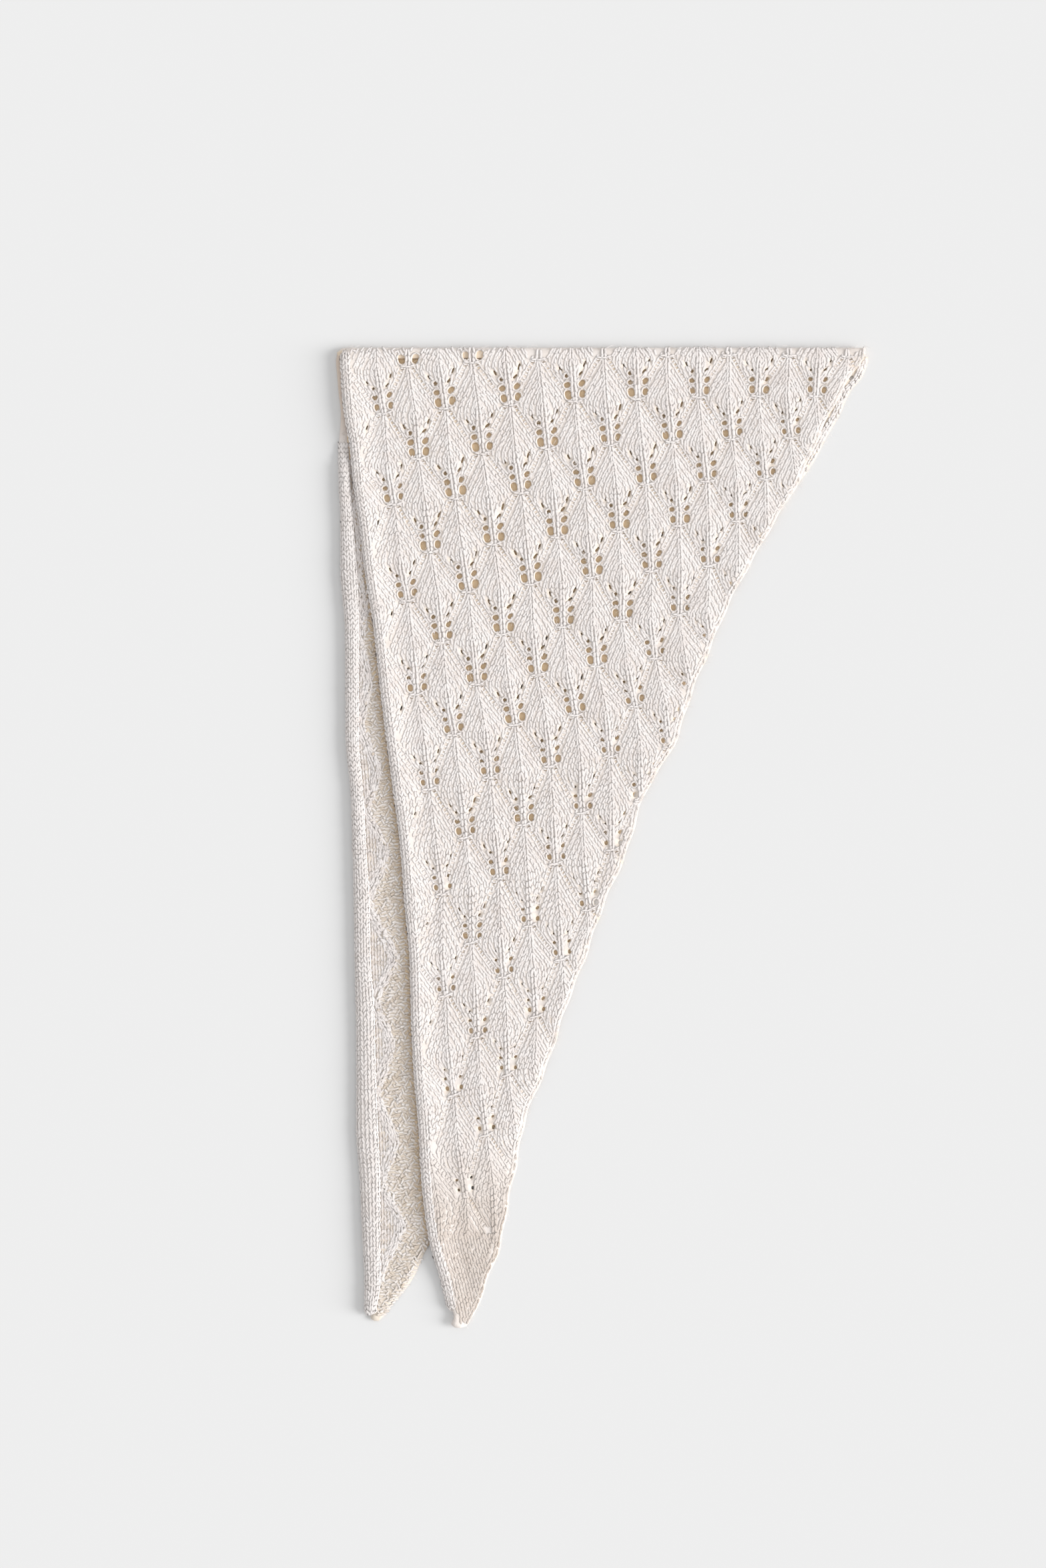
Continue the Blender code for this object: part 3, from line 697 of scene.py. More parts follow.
# Columns: depth from the far side and height, in millimetres.
FOLD_FORM = (
    (10, 0), (3.4, 0), (1, 0.9), (0, 2.6), (0.2, 4.4), (1.4, 5.8), (3.6, 6.5), (7, 6.3), (10, 5.6))
BACK_CURL_RISE, BACK_CURL_FREE = (3.0, 7.0), (85.0, 115.0)
CURL_TOP, BACK_CURL_END, FRONT_CURL_END, CURL_STEP, END_ROUNDING = 2.5, 870.0, 866.0, 4.5, 8.0


def rounded(form):
    """A closed form with its corners cut off twice."""
    ring = np.array(form, float)
    for _ in range(2):
        ahead = np.roll(ring, -1, axis=0)
        ring = np.stack((0.75 * ring + 0.25 * ahead, 0.25 * ring + 0.75 * ahead), axis=1).reshape(-1, 2)
    return ring


def tube(name, rings, material, painted_shade_and_tone=0.1):
    """A closed tube through rings of points, with a pole at each end."""
    count, around = rings.shape[:2]
    rings = np.maximum(rings, (-1e9, -1e9, UNDERSIDE))
    poles = rings[:1].mean(axis=1), rings[-1:].mean(axis=1)
    vertices = to_frame(np.concatenate((rings.reshape(-1, 3), *poles)))
    faces = []
    for k in range(0, (count - 1) * around, around):
        for i in range(around):
            j = (i + 1) % around
            faces.append((k + i, k + j, k + around + j, k + around + i))
    for i in range(around):
        j = (i + 1) % around
        faces.append((i, j, count * around))
        faces.append(((count - 1) * around + i, (count - 1) * around + j, count * around + 1))
    depth = np.append(np.broadcast_to(painted_shade_and_tone, rings.shape[:2]).ravel(), (0.1, 0.1))
    piece = make_mesh(name, vertices, faces, material, depth)
    shell = bmesh.new()
    shell.from_mesh(piece.data)
    bmesh.ops.recalc_face_normals(shell, faces=shell.faces)
    shell.to_mesh(piece.data)
    shell.free()
    return piece


def round_ends(distance):
    """How full a section is, this far from the end of its tube."""
    share = np.clip(distance / END_ROUNDING, 0.02, 1.0)
    return np.sqrt(1.0 - (1.0 - share) ** 2)


def back_curl_rise(down):
    low, high = BACK_CURL_RISE
    start, end = BACK_CURL_FREE
    return low + (high - low) * smooth_step((down - start) / (end - start))


def curl_rings(form, down, left, width, ground, tall, end):
    """Sections of a rolled edge at each distance down, drawn together at its free end."""
    full = np.minimum(round_ends(end + 0.5 - down), round_ends(down - CURL_TOP + 0.3))[:, None]
    share, up = rounded(form).T
    across = left[:, None] + width[:, None] * (0.5 + (share - 0.5) * full)
    return stack(across, down[:, None], ground[:, None] + tall[:, None] * up * full)


def front_curl_rings(down):
    left, tall = front_left(down), np.full(down.shape, FRONT_CURL_HEIGHT)
    ground, width = front_ground(left, down), front_curl_width(down)
    return curl_rings(FRONT_CURL_FORM, down, left, width, ground, tall, FRONT_CURL_END)


def back_curl_rings(down):
    left = back_left(down)
    width = curl_right(down) - left
    return curl_rings(BACK_CURL_FORM, down, left, width, 0.0 * down, back_curl_rise(down), BACK_CURL_END)


def fold_rings(across):
    full = np.minimum(round_ends(across - 1.0), round_ends(476.0 - across))[:, None]
    depth, height = rounded(FOLD_FORM).T
    return stack(across[:, None], 5.0 + (depth - 5.0) * full, height * full)


front_curl = tube("front_curl", front_curl_rings(spaced(CURL_TOP, FRONT_CURL_END, CURL_STEP)), band_yarn)
rings = back_curl_rings(spaced(CURL_TOP, BACK_CURL_END, CURL_STEP))
# Painted shade: the back curl is tan near the fold, where it lies in shade beside the front.
back_curl = tube("back_curl", rings, band_yarn, 0.1 + 0.5 * smooth_step((92.0 - rings[..., 1]) / 40.0))
rings = fold_rings(spaced(1.2, 475.8, CURL_STEP))
# Painted shade: the fold is tan on the side that runs under the front.
fold = tube("fold", rings, ground_yarn, 0.05 + 0.6 * smooth_step((rings[..., 1] - 1.5) / 2.5))
for piece in (front_curl, back_curl, fold):
    print(piece.name, len(piece.data.polygons), "faces")

# %% [markdown]
# ## One node tree that lays stitches
# A knitted stitch shows as two slanted legs, and each leg is a small spindle of yarn. Every leg is planned as
# a point that carries its direction, the way it faces and its size. The tree turns a spindle to both
# directions, makes it a little uneven with a seeded random turn and scale, and ends as plain mesh. The same
# tree, given a thin bent fibre instead of a spindle, lays the loose fuzz.

# %% Scatter tree
def named(tree, title):
    links = {"Name": title}
    return add(tree, "GeometryNodeInputNamedAttribute", links, data_type="FLOAT_VECTOR").outputs["Attribute"]


def scatter_tree(name, unit_shape):
    """Points with "along", "face" and "size" become turned and scaled copies of a unit shape."""
    tree = bpy.data.node_groups.new(name, "GeometryNodeTree")
    for title, kind in (
        ("Points", "NodeSocketGeometry"), ("Length", "NodeSocketFloat"), ("Width", "NodeSocketFloat"),
        ("Thickness", "NodeSocketFloat"), ("Unevenness", "NodeSocketFloat"), ("Seed", "NodeSocketInt"),
        ("Yarn", "NodeSocketMaterial"),
    ):
        tree.interface.new_socket(name=title, in_out="INPUT", socket_type=kind)
    tree.interface.new_socket(name="Laid", in_out="OUTPUT", socket_type="NodeSocketGeometry")
    given = add(tree, "NodeGroupInput").outputs
    faced = add(tree, "FunctionNodeAlignRotationToVector", {"Vector": named(tree, "face")}, axis="Z")
    turned = add(tree, "FunctionNodeAlignRotationToVector", {
        "Rotation": faced.outputs["Rotation"], "Vector": named(tree, "along")}, axis="X", pivot_axis="Z")
    spread = vector_math(tree, "SCALE", {0: (1.0, 1.0, 1.0), "Scale": given["Unevenness"]})
    back = vector_math(tree, "SCALE", {0: spread, "Scale": -1.0})
    wobble = add(tree, "FunctionNodeRandomValue", {
        0: back, 1: spread, "Seed": given["Seed"]}, data_type="FLOAT_VECTOR").outputs[0]
    nudge = add(tree, "FunctionNodeRotateRotation", {
        "Rotation": turned.outputs["Rotation"], "Rotate By": wobble}, rotation_space="LOCAL")
    growth = vector_math(tree, "ADD", {0: wobble, 1: (1.0, 1.0, 1.0)})
    box = add(tree, "ShaderNodeCombineXYZ", {
        "X": given["Length"], "Y": given["Width"], "Z": given["Thickness"]}).outputs["Vector"]
    own = vector_math(tree, "MULTIPLY", {0: box, 1: named(tree, "size")})
    laid = add(tree, "GeometryNodeInstanceOnPoints", {
        "Points": given["Points"], "Instance": unit_shape(tree), "Rotation": nudge.outputs["Rotation"],
        "Scale": vector_math(tree, "MULTIPLY", {0: own, 1: growth})})
    real = add(tree, "GeometryNodeRealizeInstances", {"Geometry": laid.outputs["Instances"]})
    finished = add(tree, "GeometryNodeSetMaterial", {
        "Geometry": real.outputs["Geometry"], "Material": given["Yarn"]})
    add(tree, "NodeGroupOutput", {"Laid": finished.outputs["Geometry"]})
    return tree


def spindle(tree):
    """A six-sided spindle of unit length along X, with UVs that run along it: 24 triangles."""
    ball = add(tree, "GeometryNodeMeshUVSphere", {"Segments": 6, "Rings": 3, "Radius": 0.5})
    mapped = add(tree, "GeometryNodeStoreNamedAttribute", {
        "Geometry": ball.outputs["Mesh"], "Name": "UVMap", "Value": ball.outputs["UV Map"]},
        data_type="FLOAT2", domain="CORNER")
    lying = add(tree, "GeometryNodeTransform", {
        "Geometry": mapped.outputs["Geometry"], "Rotation": (0.0, math.radians(90.0), 0.0)})
    smooth = add(tree, "GeometryNodeSetShadeSmooth", {"Geometry": lying.outputs["Geometry"]})
    return smooth.outputs["Geometry"]


def fibre(tree):
    """A thin three-sided fibre that bends out of the cloth and back: unit length along X."""
    bend = add(tree, "GeometryNodeCurveQuadraticBezier", {
        "Resolution": 2, "Start": (-0.5, 0.0, 0.0), "Middle": (0.05, 0.22, 0.5), "End": (0.5, -0.1, 0.2)})
    ring = add(tree, "GeometryNodeCurvePrimitiveCircle", {"Resolution": 3, "Radius": 0.022})
    drawn = {"Curve": bend.outputs["Curve"], "Profile Curve": ring.outputs["Curve"], "Fill Caps": True}
    return add(tree, "GeometryNodeCurveToMesh", drawn).outputs["Mesh"]


stitch_tree, fibre_tree = scatter_tree("lay_stitches", spindle), scatter_tree("lay_fibres", fibre)
print("scatter trees:", stitch_tree.name, fibre_tree.name)

# %% Laying a plan of legs
LEG_LENGTH, LEG_WIDTH, LEG_THICKNESS, UNEVENNESS = 7.2, 2.8, 1.4, 0.12


def on_sheet(height, across, down, angle, lift):
    """Place, facing and direction of legs on a sheet: columns x, y, z, face xyz, along xyz in the frame."""
    step = 0.5
    slope_across = (height(across + step, down) - height(across - step, down)) / (2.0 * step)
    slope_down = (height(across, down + step) - height(across, down - step)) / (2.0 * step)
    place = to_frame(stack(across, down, height(across, down) + lift))
    ahead, aside = np.cos(angle), np.sin(angle)
    along = stack(ahead, -aside, slope_across * ahead + slope_down * aside)
    return np.concatenate((place, stack(-slope_across, slope_down, 1.0), along), axis=-1)


def scatter(name, tree, laid, size, material, painted_shade_and_tone=0.0, seed=1, unevenness=UNEVENNESS):
    """Lays one unit shape per row, and returns the result as a plain mesh object."""
    mesh = bpy.data.meshes.new(name + "_plan")
    mesh.from_pydata(laid[:, :3].tolist(), [], [])
    tone = np.random.default_rng(seed).uniform(0.0, 1.0, len(laid))
    face = laid[:, 3:6] / np.linalg.norm(laid[:, 3:6], axis=1, keepdims=True)
    calm = face * (FUZZ_LEAN, FUZZ_LEAN, 1.0) + (0.0, 0.0, 0.25)
    for title, values in (("face", face), ("fuzz_normal", calm), ("along", laid[:, 6:9]), ("size", size)):
        kept = mesh.attributes.new(title, "FLOAT_VECTOR", "POINT")
        kept.data.foreach_set("vector", np.asarray(values, np.float32).ravel())
    for title, values in (("painted_shade_and_tone", painted_shade_and_tone + np.zeros(len(laid))), ("tone", tone)):
        kept = mesh.attributes.new(title, "FLOAT", "POINT")
        kept.data.foreach_set("value", np.asarray(values, np.float32))
    plan = link_piece(name + "_plan", mesh)
    modifier = plan.modifiers.new("lay", "NODES")
    modifier.node_group = tree
    values = {"Length": LEG_LENGTH * MM, "Width": LEG_WIDTH * MM, "Thickness": LEG_THICKNESS * MM,
              "Unevenness": unevenness, "Seed": seed, "Yarn": material}
    for item in tree.interface.items_tree:
        if item.in_out == "INPUT" and item.name in values:
            modifier[item.identifier] = values[item.name]
    graph = bpy.context.evaluated_depsgraph_get()
    made = bpy.data.meshes.new_from_object(
        plan.evaluated_get(graph), preserve_all_data_layers=True, depsgraph=graph)
    made.name = name
    points = np.empty(3 * len(made.vertices), np.float32)
    made.vertices.foreach_get("co", points)
    points[2::3] = np.maximum(points[2::3], UNDERSIDE * MM)
    made.vertices.foreach_set("co", points)
    plan.modifiers.remove(modifier)
    bpy.data.objects.remove(plan)
    for title in ("face", "along", "size"):
        made.attributes.remove(made.attributes[title])
    print(name, len(laid), "laid,", len(made.polygons), "faces")
    return link_piece(name, made)


# %% [markdown]
# ## The wales of one leaf
# Columns of stitches, called wales, leave the midrib like the barbs of a feather, turn down at the leaf's
# widest place and close in again towards the knot below. One leaf is traced in the lace's own coordinates,
# where every leaf is the same, and then laid on all of them. Neighbouring wales lean to opposite sides, which
# makes the V of stocking stitch.

# %% Trace one leaf
STITCH_PITCH, BRIDGE_PITCH, GROOVE_RUN = 5.1, 3.4, 50.5
WALE_STEP, FIRST_WALE, LAST_WALE, WALE_START, WALE_SLOPE, PAIRED = 0.118, 0.16, 1.0, 0.08, 0.84, 0.014
V_LEAN, MIDRIB_SIDE, STEM_SIDE, STEM_FROM, GROOVE_SIDE = 9.0, 0.042, 0.055, 1.12, 0.047
LEAF_END, BELOW_GROOVE, ABOVE_GROOVE = 1.96, 0.085, 0.09
# Columns of a plan, in half leaves and half drops: across and down from the knot, run across and down. Then
# lean in degrees, the shares of a leg's length, width and thickness, and lift in millimetres.


def wale_slope(b):
    """Half leaves across for each half drop down: outwards in the upper half, inwards below."""
    return WALE_SLOPE * (1.0 - rise(b, 0.78, 0.42) - rise(b, 1.0, 0.45))


def leaf_side(a, b, hand):
    """Distances of a place in one half of a leaf from the grooves above and below it, in half leaves."""
    right, left = off_grooves((b + a * hand) / 2.0, (b - a * hand) / 2.0)
    return (right, 1.0 - left) if hand > 0 else (left, 1.0 - right)


def trace_leaf():
    rows = []
    for number, start in enumerate(np.arange(FIRST_WALE, LAST_WALE, WALE_STEP)):
        for hand in (-1.0, 1.0):
            a, b = WALE_START, start + (-PAIRED if number % 2 else PAIRED)
            lean = V_LEAN if number % 2 else -V_LEAN
            while b < LEAF_END:
                slope = float(wale_slope(b))
                above, below = leaf_side(a, b, hand)
                if below < ABOVE_GROOVE or (b > 1.1 and a < STEM_SIDE + 0.05):
                    break
                if above > BELOW_GROOVE:
                    rows.append((a * hand, b, slope * hand, 1.0, lean * hand, 1.0, 1.0, 1.0, 0.0))
                length = math.hypot(slope * HALF_LEAF, HALF_DROP)
                b += STITCH_PITCH / length
                a += slope * STITCH_PITCH / length
    for start, end, side, lean, width, thick, lift in (
        (0.1, STEM_FROM, MIDRIB_SIDE, -10.0, 0.9, 1.1, 0.15),
        (STEM_FROM, 1.97, STEM_SIDE, -8.0, 1.15, 1.3, 0.3),
    ):
        rows += [
            (side * hand, b, 0.0, 1.0, lean * hand, 1.0, width, thick, lift)
            for b in np.arange(start, end, STITCH_PITCH / HALF_DROP) for hand in (-1.0, 1.0)]
    return rows


def on_grooves(t, side=0.0):
    """A place along both grooves of a leaf or to one side of them, and the hand that each runs to."""
    (right_start, right_slope), (left_start, left_slope) = RIGHT_GROOVE, LEFT_GROOVE
    return (t, right_slope * t - right_start + side, 1.0), (left_slope * t - left_start + side, t, -1.0)


def trace_ridges():
    """Smooth ridges along both sides of each groove, and small stitches that bridge it every row."""
    ridges = [
        (fp - fq, fp + fq, 0.87 * hand, 1.1, 0.0, 1.0, 0.85, 1.0, 0.0)
        for t in np.arange(0.1, 0.74, STITCH_PITCH / GROOVE_RUN)
        for side in (-GROOVE_SIDE, GROOVE_SIDE) for fp, fq, hand in on_grooves(t, side)]
    bridges = [
        (fp - fq, fp + fq, 1.0, -0.3 * hand, 0.0, 0.6, 0.8, 1.0, 0.15)
        for t in np.arange(0.12, 0.7, BRIDGE_PITCH / GROOVE_RUN) for fp, fq, hand in on_grooves(t)]
    return ridges + bridges


leaf_plan = np.array(trace_leaf() + trace_ridges())
# The bar below the eyelets: a short raised band of yarn across the stem.
bar_plan = np.array([
    (across, down, 1.0, 0.0, lean, 0.85, 0.85, 1.4, 0.75)
    for across, down, lean in ((-0.15, -0.01, 8.0), (0.0, 0.005, 0.0), (0.15, -0.01, -8.0))])
# Painted shadow in the two dark gaps below the ends of a bar, where a purled strand dips out of sight: dark
# spindles lie there.
dash_plan = np.array([
    (0.17 * hand, 0.062, 1.0, -0.1 * hand, 0.0, 0.5, 0.36, 0.9, 0.35) for hand in (-1.0, 1.0)])
print("one leaf has", len(leaf_plan), "legs")

# %% Lay the leaves on the front
PLAIN_FROM, RIM_LEGS, RIM_GAP, EDGE_KEEP, CURL_KEEP, TIP_SHADE = 800.0, 8, 1.1, 6.0, 0.85, 0.54
chance = np.random.default_rng(11)


def lay_lace(plan, knots, spread=0.22):
    """A plan repeated on every knot, as across, down, angle, size and lift."""
    a, b, run_a, run_b, lean, length, width, thick, lift = np.tile(plan, (len(knots), 1)).T
    column = np.repeat(knots[:, 0], len(plan)) + a
    row = np.repeat(knots[:, 1], len(plan)) + b
    across, down = knot(column, row)
    ahead_across, ahead_down = knot(column + 0.02 * run_a, row + 0.02 * run_b)
    angle = np.arctan2(ahead_down - down, ahead_across - across) + np.radians(lean)
    across = across + chance.normal(0.0, spread, across.shape)
    down = down + chance.normal(0.0, spread, down.shape)
    return across, down, angle, stack(length, width, thick), lift


def only(kept, *values):
    return [value[kept] for value in values]


def clear_of_eyelets(holes, across, down, angle, reach=1.8):
    """Which legs keep both ends and the middle out of every eyelet."""
    clear = np.ones(across.shape, bool)
    for share in (-1.0, 0.0, 1.0):
        x, y = across + share * reach * np.cos(angle), down + share * reach * np.sin(angle)
        clear &= eyelet_distance(holes, x, y) > 1.08
    return clear


def tip_shade(down):
    """Painted shade: the lower part of the front is a little browner."""
    return TIP_SHADE * rise(down, 690.0, 110.0)


def every_knot(rows, columns):
    return np.array([(c, r) for r in rows for c in columns if (c - r) % 2 == 0], float)


def rim_legs(holes):
    """Short legs round each big eyelet, as across, down, angle, size and lift."""
    turns = math.tau * (np.arange(RIM_LEGS) + 0.5) / RIM_LEGS
    x, y, cx, cy, high, wide = (values[:, None] for values in holes.T)
    round_x, round_y = (high + RIM_GAP) * np.cos(turns), (wide + RIM_GAP) * np.sin(turns)
    across, down = x + round_x * cx - round_y * cy, y + round_x * cy + round_y * cx
    onward, sideways = -(high + RIM_GAP) * np.sin(turns), (wide + RIM_GAP) * np.cos(turns)
    angle = np.arctan2(onward * cy + sideways * cx, onward * cx - sideways * cy)
    size = np.tile((0.72, 0.5, 1.1), (across.size, 1))
    return across.ravel(), down.ravel(), angle.ravel(), size, np.full(across.size, 0.2)


laid_on_front = (
    lay_lace(leaf_plan, every_knot(range(-2, 19), range(-3, 27))),
    lay_lace(bar_plan, every_knot(range(0, 17), range(1, 27))),
    rim_legs(front_eyelets[front_eyelets[:, 5] > 1.6]))
across, down, angle, size, lift = (np.concatenate(values) for values in zip(*laid_on_front))
kept = inside_outline(front_edge, across, down) & (down < PLAIN_FROM) & (down > 1.5)
kept &= across > front_left(down) + CURL_KEEP * front_curl_width(down)
kept &= across < front_right(down) - EDGE_KEEP
kept &= clear_of_eyelets(front_eyelets, across, down, angle)
across, down, angle, size, lift = only(kept, across, down, angle, size, lift)
front_laid = on_sheet(front_height, across, down, angle, lift)
# Painted shade round the eyelets, and the browner painted shade towards the tip.
shade = 0.1 * (1.0 - smooth_step((eyelet_distance(front_eyelets, across, down) - 1.1) / 0.8))
shade += tip_shade(down)
third = np.digitize(down, np.quantile(down, (1 / 3, 2 / 3)))
front_stitches = [
    scatter(f"front_stitches_{k + 1}", stitch_tree, front_laid[third == k], size[third == k], stitch_yarn,
            painted_shade_and_tone=shade[third == k], seed=21 + k)
    for k in range(3)]

across, down, angle, size, lift = lay_lace(dash_plan, every_knot(range(0, 16), range(1, 24)), 0.1)
kept = (down < 760.0) & (across > front_left(down) + 16.0) & (across < front_right(down) - EDGE_KEEP)
across, down, angle, size, lift = only(kept, across, down, angle, size, lift)
# Dark strands of painted shadow below the bars.
dashes = scatter(
    "bar_shadows", stitch_tree, on_sheet(front_height, across, down, angle, lift), size, shadow_strand_yarn, seed=27)

# %% [markdown]
# ## Plain knitting, purl bumps and the bands
# The tips are plain stocking stitch. The strip beside the front shows the wrong side: rows of small purl
# bumps, and beside the band a smooth pale zone that zigzags. The bands at both long edges are a few wales of
# neat V stitches that run along the edge.

# %% Stocking stitch and purl plans
WALE_MM, ROW_MM = 2.7, 4.4


def stocking(low, high, left, right, slant):
    """Wales of V legs between two edges, that follow a slant in millimetres across for each one down."""
    rows = []
    for down in np.arange(low, high, ROW_MM):
        for k, across in enumerate(np.arange(float(left(down)), float(right(down)), WALE_MM)):
            lean = math.radians(V_LEAN if k % 2 else -V_LEAN)
            rows.append((across, down, math.atan2(1.0, float(slant(down))) + lean))
    return np.array(rows).T


def edge_slant(edge):
    return lambda down: float(edge(down + 4.0) - edge(down - 4.0)) / 8.0


def sizes(count, length=1.0, width=1.0, thick=1.0):
    return np.tile((length, width, thick), (count, 1))


def edge_wales(outline_at, insets, low, high):
    """Wales that follow a right-hand edge, at the given distances inside it."""
    rows = []
    for number, inset in enumerate(insets):
        down = np.arange(low + (number % 2) * ROW_MM / 2.0, high, ROW_MM)
        slant = (outline_at(down + 3.0) - outline_at(down - 3.0)) / 6.0
        lean = math.radians(5.0 if number % 2 else -5.0)
        rows.append((outline_at(down) - inset, down, np.arctan2(1.0, slant) + lean))
    return (np.concatenate(values) for values in zip(*rows))


across, down, angle = stocking(
    PLAIN_FROM - 1.0, 878.0,
    lambda d: front_left(d) + CURL_KEEP * front_curl_width(d) + 0.6,
    lambda d: front_right(d) - EDGE_KEEP,
    edge_slant(front_left),
)
edge_across, edge_down, edge_angle = edge_wales(front_right_edge, (1.9, 4.4), 3.0, 876.0)
across, down, angle = (
    np.concatenate(pair) for pair in ((across, edge_across), (down, edge_down), (angle, edge_angle)))
kept = inside_outline(front_edge, across, down) & (across > front_left(down) + 8.0)
across, down, angle = only(kept, across, down, angle)
plain_laid = on_sheet(front_height, across, down, angle, 0.0)
near_rim = smooth_step((across - front_right(down) + 5.5) / 3.0)
plain_sizes = stack(1.0, 1.0 - 0.15 * near_rim, 1.0 - 0.4 * near_rim)
# Legs near the right rim are darkened with painted shade, and the lower part gets its browner painted shade.
front_tip = scatter(
    "front_tip_stitches", stitch_tree, plain_laid, plain_sizes, stitch_yarn,
    painted_shade_and_tone=0.2 * near_rim + tip_shade(down), seed=31, unevenness=0.2)

# %% The wrong side beside the front
PURL_ROW_MM, PURL_PITCH_MM, PURL_LEAN, RIDGE_INSETS = 3.1, 3.7, 28.0, (-2.2, 0.0, 2.2, 4.4)


def strip_right(down):
    return np.where(down < 800.0, front_left(down) + 2.5, back_right(down) - 1.0)


def purl_rows():
    rows = []
    for number, down in enumerate(np.arange(95.0, 872.0, PURL_ROW_MM)):
        start, end = float(curl_right(down)), float(min(strip_right(down), back_right(down) - 1.0))
        for k, across in enumerate(np.arange(start + (number % 2) * PURL_PITCH_MM / 2.0, end, PURL_PITCH_MM)):
            lean = (PURL_LEAN if (k + number) % 2 else -PURL_LEAN) + 30.0 * math.sin(1.7 * k + 2.3 * number)
            rows.append((across, down + 0.9 * math.sin(across / 4.0 + down / 17.0), math.radians(lean)))
    return np.array(rows).T


across, down, angle = purl_rows()
kept = inside_outline(back_edge, across, down) & (across > pale_edge(down) + 0.5)
across, down, angle = only(kept, across, down, angle)
purl_laid = on_sheet(back_height, across, down, angle, 0.15)
# Painted shade in the crevice beside the front's edge; the patches are tan tone that differs at random.
crevice = 0.8 * smooth_step((across - front_left(down) + 5.0) / 4.0) * (down < 800.0)
patches = 0.1 + 0.08 * np.sin(0.31 * down + 0.23 * across) * np.sin(0.13 * down - 0.5 * across + 1.0)
patches += 0.8 * chance.uniform(0.0, 1.0, across.shape) ** 3
purl_bumps = scatter(
    "purl_bumps", stitch_tree, purl_laid, sizes(len(across), 0.85, 0.9, 1.1), reverse_yarn,
    painted_shade_and_tone=patches + crevice, seed=41, unevenness=0.34)


def zigzag_ridges():
    """Pale loose wales that follow the pale zone's edge: out to each apex and back to the band."""
    rows = []
    for inset in RIDGE_INSETS:
        down = np.arange(104.0, 838.0, 3.9)
        slant = (pale_edge(down + 1.5) - pale_edge(down - 1.5)) / 3.0
        turn = chance.normal(0.0, 0.24, down.shape)
        rows.append((pale_edge(down) - inset + 2.6 * turn, down, np.arctan2(1.0, slant) + turn))
    return (np.concatenate(values) for values in zip(*rows))


across, down, angle = stocking(
    100.0, 866.0, lambda d: curl_right(d) - 0.5, lambda d: pale_edge(d) - 3.0, edge_slant(curl_right))
kept = inside_outline(back_edge, across, down)
across, down, angle = only(kept, across, down, angle)
ridge_across, ridge_down, ridge_angle = zigzag_ridges()
corner_across, corner_down, corner_angle = edge_wales(back_right_edge, (1.8, 4.2, 6.6), 12.0, 128.0)
pale_laid = np.concatenate((
    on_sheet(back_height, across, down, angle, 0.0),
    on_sheet(back_height, ridge_across, ridge_down, ridge_angle, 0.3),
    on_sheet(back_height, corner_across, corner_down, corner_angle, 0.1)))
pale_sizes = np.concatenate((
    sizes(len(across), 1.0, 1.0, 0.9), sizes(len(ridge_across), 1.15, 1.0, 0.9), sizes(len(corner_across))))
# Painted shade: the zone is tan again in dashes between its outer ridge and the band, and in the crevice
# beside the front's edge.
inward = smooth_step((pale_edge(down) - across - 6.0) / 5.0) * (0.5 + 0.5 * np.sin(0.9 * down))
beside = 0.8 * smooth_step((across - front_left(down) + 6.0) / 4.0)
pale_painted_shade = np.concatenate((np.maximum(0.45 * inward, beside), np.zeros(len(pale_laid) - len(across))))
pale_zone = scatter(
    "pale_zone_stitches", stitch_tree, pale_laid, pale_sizes, stitch_yarn, painted_shade_and_tone=pale_painted_shade, seed=43,
    unevenness=0.25)

# %% V stitches along the curls
BAND_PITCH, BAND_LEAN, BAND_LIFT, LOWEST_SLOT, TO_RIGHT = 2.6, 17.0, 0.1, 0.12, np.array((1.0, -1.0, 1.0))


def on_tube(rings_of, stations, slots):
    """Legs along a tube: each slot is a share of the way round its section."""
    here, ahead = rings_of(stations), rings_of(stations + 1.0)
    around = here.shape[1]
    middle = here.mean(axis=1) * TO_RIGHT
    laid = []
    for number, share in enumerate(slots):
        place = share * around
        i, part = int(place) % around, place - int(place)
        j = (i + 1) % around
        point = here[:, i] * (1.0 - part) + here[:, j] * part
        onward = (ahead[:, i] * (1.0 - part) + ahead[:, j] * part - point) * TO_RIGHT
        face = np.cross(onward, (here[:, j] - here[:, i]) * TO_RIGHT)
        face /= np.linalg.norm(face, axis=1, keepdims=True)
        outward = np.sum(face * (point * TO_RIGHT - middle), axis=1, keepdims=True)
        face *= np.where(outward < 0.0, -1.0, 1.0)
        turn = math.radians(BAND_LEAN if number % 2 else -BAND_LEAN)
        along = onward * math.cos(turn) + np.cross(face, onward) * math.sin(turn)
        laid.append(np.concatenate((to_frame(point + face * TO_RIGHT * BAND_LIFT), face, along), axis=-1))
    return np.concatenate(laid)


def slots_round(form, box):
    """Even shares round a section of a given width and height, without those low down."""
    ring = rounded(form) * box
    steps = np.linalg.norm(np.roll(ring, -1, axis=0) - ring, axis=1)
    run = np.concatenate(((0.0,), np.cumsum(steps)))
    found = []
    for length in np.arange(BAND_PITCH / 2.0, run[-1], BAND_PITCH):
        i = int(np.searchsorted(run, length, side="right")) - 1
        if ring[i % len(ring), 1] > LOWEST_SLOT * box[1]:
            found.append((i + (length - run[i]) / steps[i]) / len(ring))
    return found


def lay_band(name, rings_of, slots, start, end, thick, seed):
    laid = on_tube(rings_of, np.arange(start, end - 2.0, ROW_MM), slots)
    return scatter(
        name, stitch_tree, laid, sizes(len(laid), 0.95, 0.95, thick), edge_yarn, seed=seed, unevenness=0.24)


